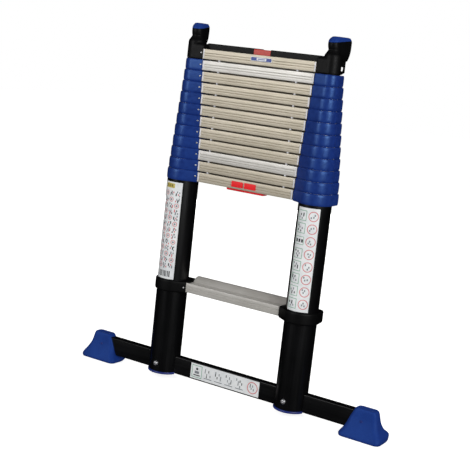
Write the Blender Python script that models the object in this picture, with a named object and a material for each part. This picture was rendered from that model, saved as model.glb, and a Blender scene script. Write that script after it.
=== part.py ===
"""Telescoping ladder, closed, standing upright on its stabiliser bar.

Two stiles of nested round tubes carry thirteen rungs. The base tubes carry rung 1 and rung 2, and each
of the eleven sliding sections above has two thinner tubes and one rung. Closed, rungs 2 to 13 lie on each
other in a stack. A section is numbered after its rung. In sections 3 to 12 a tube and the collar moulded
on its top are one solid, called a stile.

+X runs along the rungs, +Y points to the wall that the ladder leans on, +Z is up, and z = 0 is the floor
under the two rubber feet. All sizes are in metres.
"""

import math

import bmesh
import bpy
from mathutils import Matrix, Vector
from mathutils.geometry import convex_hull_2d

# Overall sizes
STILE_HALF_SPACING = 0.200  # from the middle of the ladder to the axis of a stile
RUNG_1_BOTTOM = 0.254  # above the floor
RUNG_PITCH = 0.300  # between the treads of an extended ladder
STACK_PITCH = 0.029  # between the rungs of a closed ladder
BASE_SECTION = 2  # the stack's lowest rung, which the base tubes carry
TOP_SECTION = 13

# Tubes
BASE_TUBE_RADIUS = 0.042
TUBE_WALL = 0.0015
TUBE_PLAY = 0.0005  # between a tube and the one that slides in it
TUBE_LENGTH = 0.400  # of a sliding tube
TUBE_SIDES = 16

# Rungs, as a hollow section whose tread tilts up to the back
RUNG_FRONT = 0.0187  # from the stile axis to the front face
RUNG_FACE_CLEARANCE = 0.0040  # between the faces of rungs that lie on each other
RUNG_LIP_WIDTH = 0.0035
RUNG_LIP_HEIGHT = 0.0024
TREAD_BACK = 0.0150
RUNG_REAR = 0.0480  # from the stile axis to the back edge
RUNG_REAR_UNDERSIDE = 0.0125
RIDGE_CLEARANCE = 0.0045  # between a rung's ridge and the rung that lies on it
RIDGE_TOP_WIDTH = 0.0100
RUNG_WALL = 0.0020
RUNG_END_INSET = 0.0146  # from the tube's surface to the end of the rung

# Collars
COLLAR_RING = 0.0020
CLAMP_RING = 0.0050
CAP_RING = 0.0024
COLLAR_DROP = 0.0020  # how far a collar hangs below its rung
STACK_GAP = 0.0006
COLLAR_LIP = 0.0025  # the ledge over the end of the tube
COLLAR_EDGE = 0.0045
MOULDED_IN = 0.0005  # how deep a tube's surface lies in the collar that is moulded on it
COLLAR_EDGE_INSET = 0.0014  # at the rounded upper and lower edges
CLAMP_HEIGHT = 0.0305
CLAMP_DROP = 0.0040
CLAMP_EDGE = 0.0020
CLAMP_EDGE_SCALE = 0.97
LOBE_CORNER_RADIUS = 0.0080
BOSS_CORNER_RADIUS = 0.0030
TONGUE_LENGTH = 0.0180  # of a collar's spigot in the end of its rung
TONGUE_BACK = 0.0120

# Stabiliser bar and what holds it
BAR_BOTTOM = 0.0200
BAR_HEIGHT = 0.0490
BAR_DEPTH = 0.0220
BAR_WALL = 0.0020
BAR_HALF_LENGTH = 0.4300
BASE_TUBE_RISE = 0.0040  # from the bar's bottom to the tubes'
PLUG_FLANGE = 0.0045
PLUG_FLANGE_HEIGHT = 0.0060
PLUG_EDGE = 0.0010
PLUG_ABOVE_BAR = 0.0160
BOLT_RISE = 0.0260  # from the bar's bottom to the bolt's axis
BOLT_RADIUS = 0.0040
BOLT_HEAD_RADIUS = 0.0070
BOLT_HEAD_HEIGHT = 0.0045
NUT_RADIUS = 0.0085
NUT_THICKNESS = 0.0065
BOLT_END_BEYOND_NUT = 0.0015

# Rubber feet, level by level. The first three numbers give the height: a share of the height of the bar's
# bottom, a share of the bar's own height, and a length. Then come the extra height at the rear edge, how
# far the foot reaches in and out from the bar's end, and the rubber beyond the bar's sides.
FOOT_LEVELS = (
    (0.0, 0.0, 0.0000, 0.000, 0.0760, 0.0365, 0.0235),
    (0.3, 0.0, 0.0000, 0.012, 0.0770, 0.0375, 0.0245),
    (0.7, 0.0, 0.0000, 0.010, 0.0725, 0.0350, 0.0215),
    (1.0, 0.0, 0.0080, 0.003, 0.0650, 0.0270, 0.0150),
    (1.0, 0.5, 0.0035, 0.000, 0.0590, 0.0190, 0.0075),
    (1.0, 1.0, 0.0010, 0.000, 0.0490, 0.0130, 0.0045),
    (1.0, 1.0, 0.0070, 0.000, 0.0440, 0.0090, 0.0025),
)
FOOT_CORNER_RADIUS = 0.0140
FOOT_CORNER_SHARE = 0.7  # the most of the half depth that a corner takes
SOLE_FLAT_REAR = 0.0120  # behind the bar's middle plane: from here the sole rises to the rear
SOLE_REAR_RISE = 0.0110

# Release unit on rung 2
BUTTON_INNER_END = 0.0025
BUTTON_WIDTH = 0.0335
BUTTON_RISE = 0.0046  # from the rung's bottom to the button's
BUTTON_MARGIN = 0.0030  # from the button's top to the tread
BUTTON_PROUD = 0.0020
BUTTON_DEPTH = 0.0150
TRAY_HALF_WIDTH = 0.0560
TRAY_HALF_DEPTH = 0.0120
TRAY_THICKNESS = 0.0066
TRAY_CORNER_RADIUS = 0.0040
PIN_RADIUS = 0.0045
PIN_RISE = 0.0110  # from the rung's bottom to the lock pin's axis
PIN_INNER_END = 0.0460
LOCK_HOLE_PLAY = 0.0006
LOCK_HOLE_SIDES = 8

# Top caps, wall pads and the cover on the top rung, measured from the top rung's bottom and the stile axis
CAP_BORE_TOP = 0.0320
CAP_BOSS_LEVELS = ((0.0310, 1.00), (0.0385, 0.88))  # height, scale
CAP_NECK_BOTTOM = 0.0100
CAP_NECK_LEVELS = ((0.0410, 1.00), (0.0455, 0.93), (0.0510, 0.76), (0.0580, 0.60))
FIN_THICKNESS = 0.0050
FIN_START = 0.0120
FIN_BEND = 0.0360  # from here the fin's lower edge rises to the back
FIN_BEND_RISE = 0.0060
FIN_TOP = 0.0450
STRAP_HOLE_START = 0.0285
STRAP_HOLE_LENGTH = 0.0065
STRAP_HOLE_RISE = 0.0010
STRAP_HOLE_HEIGHT = 0.0090
PAD_SPLAY = math.radians(13)
PAD_FACE_THICKNESS = 0.0060
PAD_SEAT_FRONT = 0.0690  # the rubber is thicker at the front than at the wall end
PAD_SEAT_REAR = 0.0835
HEAD_LEVELS = (  # height, front end, wall end, half width
    (0.0330, 0.0240, 0.0497, 0.0085),
    (0.0450, 0.0040, 0.0530, 0.0130),
    (0.0570, -0.0130, 0.0550, 0.0148),
    (0.0720, -0.0175, 0.0558, 0.0152),
    (0.0820, -0.0145, 0.0548, 0.0146),
    (0.0900, -0.0040, 0.0485, 0.0115),
)
COVER_FRONT = 0.0000
COVER_THICKNESS = 0.0035
COVER_UNDERCUT = 0.0026  # how far below the tread the cover's block starts
COVER_EDGE = 0.0030
COVER_BRIDGE = 0.0080  # of the cover's depth that runs on behind the tab
TAB_HALF_WIDTH = 0.0240
TAB_DROP = 0.0015
TAB_PROUD = 0.0010

FIT = 0.0003  # the gap between pieces that touch
ROUND_SIDES = 12
CUT_MARGIN = 0.010  # how far a cutter runs past what it cuts

TUBE_STEP = TUBE_WALL + TUBE_PLAY
BASE_TUBE_BOTTOM = BAR_BOTTOM + BASE_TUBE_RISE
BOLT_HEIGHT = BAR_BOTTOM + BOLT_RISE
PAD_WALL_END = max(rear for height, front, rear, half in HEAD_LEVELS)

# Heights above the bottom of a rung
RUNG_FACE_HEIGHT = STACK_PITCH - RUNG_FACE_CLEARANCE
TREAD_HEIGHT = RUNG_FACE_HEIGHT - RUNG_LIP_HEIGHT
RIDGE_HEIGHT = RUNG_REAR_UNDERSIDE + STACK_PITCH - RIDGE_CLEARANCE
COLLAR_TOP = STACK_PITCH - STACK_GAP - COLLAR_DROP
BUTTON_TOP = TREAD_HEIGHT - BUTTON_MARGIN
COVER_BOTTOM = TREAD_HEIGHT - COVER_UNDERCUT
COVER_TOP = RIDGE_HEIGHT + COVER_THICKNESS


# Materials


def material(name, color, roughness, metallic=0.0):
    """A Principled material with one colour, given as linear red, green and blue."""
    made = bpy.data.materials.new(name)
    made.use_nodes = True
    shader = made.node_tree.nodes["Principled BSDF"]
    shader.inputs["Base Color"].default_value = (*color, 1.0)
    shader.inputs["Roughness"].default_value = roughness
    shader.inputs["Metallic"].default_value = metallic
    return made


# Solids, built as bmeshes


def skin(loops):
    """A closed solid through loops of points that all run the same way round."""
    bm = bmesh.new()
    rings = [[bm.verts.new(point) for point in loop] for loop in loops]
    count = len(loops[0])
    for lower, upper in zip(rings, rings[1:]):
        for i in range(count):
            after = (i + 1) % count
            bm.faces.new((lower[i], lower[after], upper[after], upper[i]))
    bm.faces.new(rings[0])
    bm.faces.new(rings[-1])
    bmesh.ops.recalc_face_normals(bm, faces=bm.faces)
    return bm


def loft(outline, levels, centre=(0.0, 0.0)):
    """A solid through copies of one outline, each at a height and scaled about the centre."""
    middle = Vector(centre)
    loops = []
    for height, scale in levels:
        loops.append([(*(middle + (Vector(point) - middle) * scale), height) for point in outline])
    return skin(loops)


def turned(profile, sides=TUBE_SIDES):
    """A solid turned about Z from (radius, height) points. A profile that ends on the axis isn't closed."""
    bm = bmesh.new()
    points = [bm.verts.new((radius, 0.0, height)) for radius, height in profile]
    pairs = list(zip(points, points[1:]))
    if profile[0][0] > 0:
        pairs.append((points[-1], points[0]))
    edges = [bm.edges.new(pair) for pair in pairs]
    bmesh.ops.spin(
        bm, geom=points + edges, axis=(0, 0, 1), cent=(0, 0, 0), steps=sides, angle=math.tau, use_merge=True
    )
    bmesh.ops.remove_doubles(bm, verts=bm.verts, dist=1e-6)
    bmesh.ops.recalc_face_normals(bm, faces=bm.faces)
    return bm


def rod(radius, start, end, sides=ROUND_SIDES):
    """A plain cylinder between two points."""
    start, end = Vector(start), Vector(end)
    bm = turned(((0, 0), (radius, 0), (radius, (end - start).length), (0, (end - start).length)), sides)
    turn = (end - start).to_track_quat("Z", "Y").to_matrix().to_4x4()
    bmesh.ops.transform(bm, matrix=Matrix.Translation(start) @ turn, verts=bm.verts)
    return bm


def prism(profile, start, end):
    """A (y, z) profile extruded along X."""
    return skin([[(x, y, z) for y, z in profile] for x in (start, end)])


def box(low, high):
    """A box between two corners."""
    (left, front, bottom), (right, back, top) = low, high
    return prism(((front, bottom), (back, bottom), (back, top), (front, top)), left, right)


def moved(bm, matrix):
    bmesh.ops.transform(bm, matrix=matrix, verts=bm.verts)
    return bm


def one_side(bm, side):
    """The same piece on the stile at +X (side 1) or at -X (side -1)."""
    if side < 0:
        bmesh.ops.scale(bm, vec=(-1, 1, 1), verts=bm.verts)
        bmesh.ops.reverse_faces(bm, faces=bm.faces)
    return bm


def at_stile(bm, side):
    """Moves a piece that is centred on the stile axis to its stile."""
    return one_side(moved(bm, Matrix.Translation((STILE_HALF_SPACING, 0, 0))), side)


def side_name(name, side):
    return f"{name}_right" if side > 0 else f"{name}_left"


# Objects


def add(name, bm, parent, finish):
    mesh = bpy.data.meshes.new(name)
    bm.to_mesh(mesh)
    bm.free()
    mesh.shade_smooth()
    mesh.set_sharp_from_angle(angle=math.radians(35))
    mesh.materials.append(finish)
    obj = bpy.data.objects.new(name, mesh)
    bpy.context.scene.collection.objects.link(obj)
    obj.parent = parent
    return obj


def hide_as_tool(obj):
    obj.hide_render = True
    obj.display_type = "WIRE"


def add_tool(target, use, bm):
    """A hidden object that shapes the target."""
    name = f"{target.name}_{use}_{len(target.modifiers) + 1}"
    tool = add(name, bm, target.parent, target.data.materials[0])
    hide_as_tool(tool)
    return tool


def combine_with(target, tool, operation):
    modifier = target.modifiers.new(tool.name, "BOOLEAN")
    modifier.operation = operation
    modifier.solver = "EXACT"
    modifier.object = tool


def cut(target, bm):
    combine_with(target, add_tool(target, "cut", bm), "DIFFERENCE")


def join(target, bm):
    combine_with(target, add_tool(target, "joined", bm), "UNION")


def empty(name, parent, location):
    obj = bpy.data.objects.new(name, None)
    obj.location = location
    obj.parent = parent
    bpy.context.scene.collection.objects.link(obj)
    return obj


# Outlines


def tube_radius(section):
    return BASE_TUBE_RADIUS - TUBE_STEP * (section - BASE_SECTION)


def arc(centre, radius, start, end, steps):
    """Points along an arc, in degrees."""
    angles = [math.radians(start + (end - start) * i / steps) for i in range(steps + 1)]
    return [(centre[0] + radius * math.cos(a), centre[1] + radius * math.sin(a)) for a in angles]


def hull(points):
    """The convex outline round the points, anticlockwise."""
    outline = [points[i] for i in convex_hull_2d(points)]
    area = sum(a[0] * b[1] - b[0] * a[1] for a, b in zip(outline, outline[1:] + outline[:1]))
    return outline if area > 0 else outline[::-1]


def rounded_rectangle(low, high, radius, steps=2):
    points = []
    for x, y, start in (
        (high[0] - radius, high[1] - radius, 0),
        (low[0] + radius, high[1] - radius, 90),
        (low[0] + radius, low[1] + radius, 180),
        (high[0] - radius, low[1] + radius, 270),
    ):
        points += arc((x, y), radius, start, start + 90, steps)
    return points


def inset(profile, distance):
    """The profile with each side moved inwards, or outwards where the distance is negative."""
    moved_points = []
    for before, here, after in zip(profile[-1:] + profile[:-1], profile, profile[1:] + profile[:1]):
        into = (Vector(here) - Vector(before)).normalized()
        out = (Vector(after) - Vector(here)).normalized()
        normal_in, normal_out = Vector((into.y, -into.x)), Vector((out.y, -out.x))
        shift = (normal_in + normal_out) * (distance / (1 + normal_in.dot(normal_out)))
        moved_points.append((here[0] + shift.x, here[1] + shift.y))
    return moved_points


def rung_profile(with_lip):
    """The rung's section in (y, z), clockwise from its front bottom edge."""
    lip = [(-RUNG_FRONT, TREAD_HEIGHT)]
    if with_lip:
        lip = [
            (-RUNG_FRONT, RUNG_FACE_HEIGHT),
            (-RUNG_FRONT + RUNG_LIP_WIDTH, RUNG_FACE_HEIGHT),
            (-RUNG_FRONT + 2 * RUNG_LIP_WIDTH, TREAD_HEIGHT),
        ]
    rise = RIDGE_HEIGHT - TREAD_HEIGHT
    ridge = [
        (TREAD_BACK, TREAD_HEIGHT),
        (TREAD_BACK + 0.007, TREAD_HEIGHT + rise * 0.58),
        (TREAD_BACK + 0.015, TREAD_HEIGHT + rise * 0.93),
        (RUNG_REAR - RIDGE_TOP_WIDTH, RIDGE_HEIGHT),
        (RUNG_REAR - 0.003, RIDGE_HEIGHT - 0.0010),
        (RUNG_REAR, RIDGE_HEIGHT - 0.0040),
    ]
    underside = [
        (RUNG_REAR, RUNG_REAR_UNDERSIDE),
        (TREAD_BACK + 0.014, RUNG_REAR_UNDERSIDE),
        (TREAD_BACK + 0.002, 0.0),
    ]
    return [(-RUNG_FRONT, 0.0)] + lip + ridge + underside


def boss_end(section):
    """How far a collar reaches from the stile axis towards its rung."""
    return tube_radius(section) + RUNG_END_INSET - FIT


def rung_half_length(section):
    return STILE_HALF_SPACING - tube_radius(section) - RUNG_END_INSET


def boss_corners(section):
    """The two rounded corners of a collar's boss, where the rung meets it."""
    x = BOSS_CORNER_RADIUS - boss_end(section)
    rear = RUNG_REAR - BOSS_CORNER_RADIUS
    front = BOSS_CORNER_RADIUS - RUNG_FRONT
    return arc((x, rear), BOSS_CORNER_RADIUS, 90, 180, 1) + arc((x, front), BOSS_CORNER_RADIUS, 180, 270, 1)


def collar_outline(section, ring):
    """A collar from above: a ring round the tube, the boss of its rung, and a lobe at the back."""
    radius = tube_radius(section)
    lobe = (1.32 * radius - 0.020, RUNG_REAR - LOBE_CORNER_RADIUS)
    points = arc((0, 0), radius + ring, 0, 360 - 360 / TUBE_SIDES, TUBE_SIDES - 1)
    return hull(points + boss_corners(section) + arc(lobe, LOBE_CORNER_RADIUS, 0, 90, 2))


def tongue(section):
    """The spigot of a collar, which fits the hollow end of its rung."""
    gap = RUNG_WALL + FIT
    return box(
        (-boss_end(section) - TONGUE_LENGTH, -RUNG_FRONT + gap, gap),
        (-tube_radius(section) - COLLAR_RING, TONGUE_BACK, TREAD_HEIGHT - gap),
    )


# The base


def base_tube(side, parent, finish):
    outer, bottom = BASE_TUBE_RADIUS, BASE_TUBE_BOTTOM
    inner = outer - TUBE_WALL
    top = rung_bottom(BASE_SECTION) + COLLAR_TOP - COLLAR_LIP - FIT
    shape = turned(((outer, bottom), (outer, top), (inner, top), (inner, bottom)))
    tube = add(side_name("base_tube", side), at_stile(shape, side), parent, finish)
    cut(tube, at_stile(bar_slot(), side))
    cut(tube, at_stile(bolt_hole(), side))
    cut(tube, pin_bore(side, rung_bottom(BASE_SECTION)))


def bar_slot():
    """The space that the stabiliser bar takes up in a tube and its plug, open to below."""
    reach = BASE_TUBE_RADIUS + PLUG_FLANGE + CUT_MARGIN
    half = BAR_DEPTH / 2 + FIT
    return box((-reach, -half, -CUT_MARGIN), (reach, half, BAR_BOTTOM + BAR_HEIGHT + FIT))


def bolt_hole():
    reach = BASE_TUBE_RADIUS + CUT_MARGIN
    return rod(BOLT_RADIUS + FIT, (0, -reach, BOLT_HEIGHT), (0, reach, BOLT_HEIGHT))


def pin_bore(side, bottom):
    """The way of a lock pin from rung 2 into the base tube, measured from the middle of the ladder."""
    height = bottom + PIN_RISE
    start = rung_half_length(BASE_SECTION) - TONGUE_LENGTH - CUT_MARGIN
    end = STILE_HALF_SPACING - BASE_TUBE_RADIUS + 2 * TUBE_WALL
    return one_side(rod(PIN_RADIUS + FIT, (start, 0, height), (end, 0, height)), side)


def tube_plug(side, parent, finish):
    """The plug closes the foot of a base tube and holds the bar on both sides."""
    inner = BASE_TUBE_RADIUS - TUBE_WALL - FIT
    flange = BASE_TUBE_RADIUS + PLUG_FLANGE
    seat = BASE_TUBE_BOTTOM - FIT
    bottom = seat - PLUG_FLANGE_HEIGHT
    top = BAR_BOTTOM + BAR_HEIGHT + PLUG_ABOVE_BAR
    rim = ((0, bottom), (flange - PLUG_EDGE, bottom), (flange, bottom + PLUG_EDGE), (flange, seat))
    shape = turned(rim + ((inner, seat), (inner, top), (0, top)))
    plug = add(side_name("tube_plug", side), at_stile(shape, side), parent, finish)
    cut(plug, at_stile(bar_slot(), side))
    cut(plug, at_stile(bolt_hole(), side))


def stabiliser_bar(parent, finish):
    top = BAR_BOTTOM + BAR_HEIGHT
    outer = box((-BAR_HALF_LENGTH, -BAR_DEPTH / 2, BAR_BOTTOM), (BAR_HALF_LENGTH, BAR_DEPTH / 2, top))
    bar = add("stabiliser_bar", outer, parent, finish)
    reach = BAR_HALF_LENGTH + CUT_MARGIN
    side = BAR_DEPTH / 2 - BAR_WALL
    cut(bar, box((-reach, -side, BAR_BOTTOM + BAR_WALL), (reach, side, top - BAR_WALL)))
    for side in (-1, 1):
        cut(bar, at_stile(bolt_hole(), side))


def stabiliser_bolt(side, parent, finish):
    """A domed bolt through tube, plug and bar, with its nut tightened on the end."""
    head = -BASE_TUBE_RADIUS - FIT
    seat = BASE_TUBE_RADIUS + FIT - head
    profile = (
        (0, -BOLT_HEAD_HEIGHT),
        (BOLT_HEAD_RADIUS * 0.55, -BOLT_HEAD_HEIGHT * 0.9),
        (BOLT_HEAD_RADIUS * 0.93, -BOLT_HEAD_HEIGHT * 0.45),
        (BOLT_HEAD_RADIUS, 0),
        (BOLT_RADIUS, 0),
        (BOLT_RADIUS, seat + NUT_THICKNESS + BOLT_END_BEYOND_NUT),
        (0, seat + NUT_THICKNESS + BOLT_END_BEYOND_NUT),
    )
    place = Matrix.Translation((0, head, BOLT_HEIGHT)) @ Matrix.Rotation(-math.pi / 2, 4, "X")
    shape = at_stile(moved(turned(profile, ROUND_SIDES), place), side)
    bolt = add(side_name("stabiliser_bolt", side), shape, parent, finish)
    nut = rod(NUT_RADIUS, (0, head + seat, BOLT_HEIGHT), (0, head + seat + NUT_THICKNESS, BOLT_HEIGHT), 6)
    join(bolt, at_stile(nut, side))


def foot_loop(level):
    """One level of a foot, whose outline rises towards its rear edge."""
    below_bar, beside_bar, length, rear_rise, reach_in, reach_out, rubber = level
    height = below_bar * BAR_BOTTOM + beside_bar * BAR_HEIGHT + length
    depth = BAR_DEPTH / 2 + rubber
    low, high = (BAR_HALF_LENGTH - reach_in, -depth), (BAR_HALF_LENGTH + reach_out, depth)
    outline = rounded_rectangle(low, high, min(FOOT_CORNER_RADIUS, FOOT_CORNER_SHARE * depth))
    return [(x, y, height + rear_rise * (y / depth + 1) / 2) for x, y in outline]


def foot(side, parent, finish):
    """A rubber foot. Its sole is flat at the front and rises at the rear, for when the ladder leans."""
    shape = skin([foot_loop(level) for level in FOOT_LEVELS])
    piece = add(side_name("foot", side), one_side(shape, side), parent, finish)
    half, low, high = BAR_DEPTH / 2 + FIT, BAR_BOTTOM - FIT, BAR_BOTTOM + BAR_HEIGHT + FIT
    inner = BAR_HALF_LENGTH - max(level[4] for level in FOOT_LEVELS) - CUT_MARGIN
    outer = BAR_HALF_LENGTH + max(level[5] for level in FOOT_LEVELS) + CUT_MARGIN
    cut(piece, one_side(box((inner, -half, low), (BAR_HALF_LENGTH + FIT, half, high)), side))
    depth = BAR_DEPTH / 2 + FOOT_LEVELS[0][6]
    slope = SOLE_REAR_RISE / (depth - SOLE_FLAT_REAR)
    start, end = SOLE_FLAT_REAR - CUT_MARGIN / slope, depth + CUT_MARGIN
    wedge = ((start, -CUT_MARGIN), (end, -CUT_MARGIN), (end, slope * (end - SOLE_FLAT_REAR)))
    cut(piece, one_side(prism(wedge, inner, outer), side))


# Rungs and collars, measured from the bottom of their rung


def rung_bottom(section):
    """The height of a rung's bottom edge above the floor, with the ladder closed."""
    if section == 1:
        return RUNG_1_BOTTOM
    return RUNG_1_BOTTOM + RUNG_PITCH + STACK_PITCH * (section - BASE_SECTION)


def rung(section, parent, finish):
    half = rung_half_length(max(section, BASE_SECTION))
    piece = add(f"rung_{section:02d}", prism(rung_profile(True), -half, half), parent, finish)
    hollow = inset(rung_profile(False), RUNG_WALL)
    cut(piece, prism(hollow, -half - CUT_MARGIN, half + CUT_MARGIN))
    return piece


def edge_scale(section, ring):
    """How much smaller a collar is at its upper and lower edge."""
    return 1 - COLLAR_EDGE_INSET / (tube_radius(section) + ring)


def collar_shape(section):
    edge = edge_scale(section, COLLAR_RING)
    levels = (
        (-COLLAR_DROP, edge),
        (COLLAR_EDGE - COLLAR_DROP, 1.0),
        (COLLAR_TOP - COLLAR_EDGE, 1.0),
        (COLLAR_TOP, edge),
    )
    return loft(collar_outline(section, COLLAR_RING), levels)


def collar_bore(seat_radius, ledge_radius):
    """The hollow of a collar: the seat of the tube, and above it the narrower way of the next tube."""
    ledge = COLLAR_TOP - COLLAR_LIP
    start, end = -CUT_MARGIN, COLLAR_TOP + CUT_MARGIN
    seat = ((0, start), (seat_radius, start), (seat_radius, ledge))
    return turned(seat + ((ledge_radius, ledge), (ledge_radius, end), (0, end)))


def base_collar(side, parent, finish):
    """The lowest blue collar: it holds rung 2 on the base tube, and its ledge covers the tube's end."""
    shape = at_stile(collar_shape(BASE_SECTION), side)
    piece = add(side_name("collar_02", side), shape, parent, finish)
    join(piece, at_stile(tongue(BASE_SECTION), side))
    bore = collar_bore(BASE_TUBE_RADIUS + FIT, BASE_TUBE_RADIUS - TUBE_WALL)
    cut(piece, at_stile(bore, side))
    cut(piece, pin_bore(side, 0.0))


def base_clamp(side, parent, finish):
    """The plain collar that holds rung 1 on the base tube."""
    bottom, top = -CLAMP_DROP, CLAMP_HEIGHT - CLAMP_DROP
    edge = CLAMP_EDGE
    levels = ((bottom, CLAMP_EDGE_SCALE), (bottom + edge, 1.0), (top - edge, 1.0), (top, CLAMP_EDGE_SCALE))
    shape = at_stile(loft(collar_outline(BASE_SECTION, CLAMP_RING), levels), side)
    piece = add(side_name("collar_01", side), shape, parent, finish)
    join(piece, at_stile(tongue(BASE_SECTION), side))
    bore = rod(BASE_TUBE_RADIUS + FIT, (0, 0, bottom - CUT_MARGIN), (0, 0, top + CUT_MARGIN), TUBE_SIDES)
    cut(piece, at_stile(bore, side))


def lock_hole(section, side):
    """The hole near the foot of a sliding tube, into which the lock pin of the rung below springs."""
    near = STILE_HALF_SPACING - tube_radius(section)
    hole = rod(PIN_RADIUS + LOCK_HOLE_PLAY, (-CUT_MARGIN, 0, 0), (CUT_MARGIN, 0, 0), LOCK_HOLE_SIDES)
    half_step = Matrix.Rotation(math.pi / LOCK_HOLE_SIDES, 4, "X")
    return one_side(moved(hole, Matrix.Translation((near, 0, PIN_RISE - RUNG_PITCH)) @ half_step), side)


def stile(section, side, parent, finish):
    """A sliding tube with its collar moulded round the top."""
    outer = tube_radius(section)
    inner = outer - TUBE_WALL
    top = COLLAR_TOP - COLLAR_LIP + MOULDED_IN
    bottom = top - TUBE_LENGTH
    tube = turned(((outer, bottom), (outer, top), (inner, top), (inner, bottom)))
    piece = add(side_name(f"stile_{section:02d}", side), at_stile(tube, side), parent, finish)
    cut(piece, lock_hole(section, side))
    collar = add_tool(piece, "collar", at_stile(collar_shape(section), side))
    join(collar, at_stile(tongue(section), side))
    cut(collar, at_stile(collar_bore(outer - MOULDED_IN, inner + MOULDED_IN / 2), side))
    combine_with(piece, collar, "UNION")


def top_tube(side, parent, finish):
    """The thinnest tube, whose end is closed by a cap."""
    outer = tube_radius(TOP_SECTION)
    inner = outer - TUBE_WALL
    top = CAP_BORE_TOP - FIT
    bottom = top - TUBE_LENGTH
    shape = turned(((outer, bottom), (outer, top), (inner, top), (inner, bottom)))
    piece = add(side_name(f"tube_{TOP_SECTION}", side), at_stile(shape, side), parent, finish)
    cut(piece, lock_hole(TOP_SECTION, side))


# The release unit on rung 2, measured from the bottom of that rung


def button_box(side, gap, front, back):
    """A release button's block, grown by a gap at its sides."""
    inner, outer = BUTTON_INNER_END - gap, BUTTON_INNER_END + BUTTON_WIDTH + gap
    low, high = BUTTON_RISE - gap, BUTTON_TOP + gap
    return one_side(box((inner, front, low), (outer, back, high)), side)


def release_unit(side, parent, red, steel):
    """A release button in the face of rung 2, and the lock pin that it draws out of the tube."""
    face = -RUNG_FRONT - BUTTON_PROUD
    slide = empty(side_name("release_slide", side), parent, (0, 0, 0))
    button = button_box(side, 0.0, face, face + BUTTON_DEPTH)
    add(side_name("release_button", side), button, slide, red)
    slide = empty(side_name("lock_slide", side), parent, (0, 0, PIN_RISE))
    end = STILE_HALF_SPACING - tube_radius(BASE_SECTION + 1) - TUBE_PLAY
    pin = rod(PIN_RADIUS, (PIN_INNER_END, 0, 0), (end, 0, 0))
    add(side_name("lock_pin", side), one_side(pin, side), slide, steel)


def release_tray(parent, red):
    low, high = (-TRAY_HALF_WIDTH, -TRAY_HALF_DEPTH), (TRAY_HALF_WIDTH, TRAY_HALF_DEPTH)
    outline = rounded_rectangle(low, high, TRAY_CORNER_RADIUS)
    add("release_tray", skin([[(x, y, z) for x, y in outline] for z in (-TRAY_THICKNESS, -FIT)]), parent, red)


# The top: caps, wall pads and the cover on the top rung, measured from the bottom of the top rung


def pad_frame():
    """Turns pad coordinates, with +Y to the pad's wall end, to the stile's."""
    return Matrix.Rotation(-PAD_SPLAY, 4, "Z")


def head_shape():
    """The outside of a cap's head and its rubber: a long round-ended block along the pad's direction."""
    loops = []
    for height, front, rear, half in HEAD_LEVELS:
        outline = arc((0, rear - half), half, 0, 180, 6) + arc((0, front + half), half, 180, 360, 6)
        loops.append([(x, y, height) for x, y in outline])
    return moved(skin(loops), pad_frame())


def pad_seat(gap):
    """The space under the rubber pad, grown by a gap."""
    rear = PAD_WALL_END - PAD_FACE_THICKNESS + gap
    front = -PAD_WALL_END
    profile = ((front, 0.0), (rear, 0.0), (rear, PAD_SEAT_REAR + gap), (front, PAD_SEAT_FRONT + gap))
    return moved(prism(profile, -PAD_WALL_END, PAD_WALL_END), pad_frame())


def cap_fin():
    """The upright fin behind a cap, under its head."""
    end = PAD_WALL_END - PAD_FACE_THICKNESS - MOULDED_IN
    bottom = MOULDED_IN - COLLAR_DROP
    profile = (
        (FIN_START, bottom),
        (FIN_BEND, bottom),
        (end, bottom + FIN_BEND_RISE),
        (end, FIN_TOP),
        (FIN_START, FIN_TOP),
    )
    return moved(prism(profile, -FIN_THICKNESS / 2, FIN_THICKNESS / 2), pad_frame())


def strap_hole():
    low = (-FIN_THICKNESS, STRAP_HOLE_START, STRAP_HOLE_RISE)
    high = (FIN_THICKNESS, STRAP_HOLE_START + STRAP_HOLE_LENGTH, STRAP_HOLE_RISE + STRAP_HOLE_HEIGHT)
    return moved(box(low, high), pad_frame())


def top_cap(side, parent, finish):
    """The cap closes the top tube, holds the top rung, and carries the wall pad on its head."""
    edge = edge_scale(TOP_SECTION, CAP_RING)
    rim = ((-COLLAR_DROP, edge), (COLLAR_EDGE - COLLAR_DROP, 1.0))
    radius = tube_radius(TOP_SECTION) + CAP_RING
    ring = arc((0, 0), radius, 0, 360 - 360 / TUBE_SIDES, TUBE_SIDES - 1)
    boss = hull(ring + boss_corners(TOP_SECTION))
    piece = add(side_name("top_cap", side), at_stile(loft(boss, rim + CAP_BOSS_LEVELS), side), parent, finish)
    join(piece, at_stile(tongue(TOP_SECTION), side))
    neck = [(x * (1 - MOULDED_IN / radius), y * (1 - MOULDED_IN / radius)) for x, y in ring]
    join(piece, at_stile(loft(neck, ((CAP_NECK_BOTTOM, 1.0),) + CAP_NECK_LEVELS), side))
    join(piece, at_stile(cap_fin(), side))
    head = add(side_name("head_block", side), at_stile(head_shape(), side), parent, finish)
    combine_with(head, add_tool(head, "seat", at_stile(pad_seat(0.0), side)), "INTERSECT")
    hide_as_tool(head)
    combine_with(piece, head, "UNION")
    bore = rod(tube_radius(TOP_SECTION) + FIT, (0, 0, -CUT_MARGIN), (0, 0, CAP_BORE_TOP), TUBE_SIDES)
    cut(piece, at_stile(bore, side))
    cut(piece, at_stile(strap_hole(), side))


def wall_pad(side, parent, finish):
    """The rubber that wraps the top and the wall end of a cap's head."""
    piece = add(side_name("wall_pad", side), at_stile(head_shape(), side), parent, finish)
    cut(piece, at_stile(pad_seat(FIT), side))


def cover_profile(front, back, top):
    """The outside of the top rung's cover in (y, z), anticlockwise from its front bottom edge."""
    edge = COVER_EDGE
    return ((front, COVER_BOTTOM), (back, COVER_BOTTOM), (back, top - edge), (back - edge, top),
            (front + edge, top), (front, top - edge))


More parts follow.
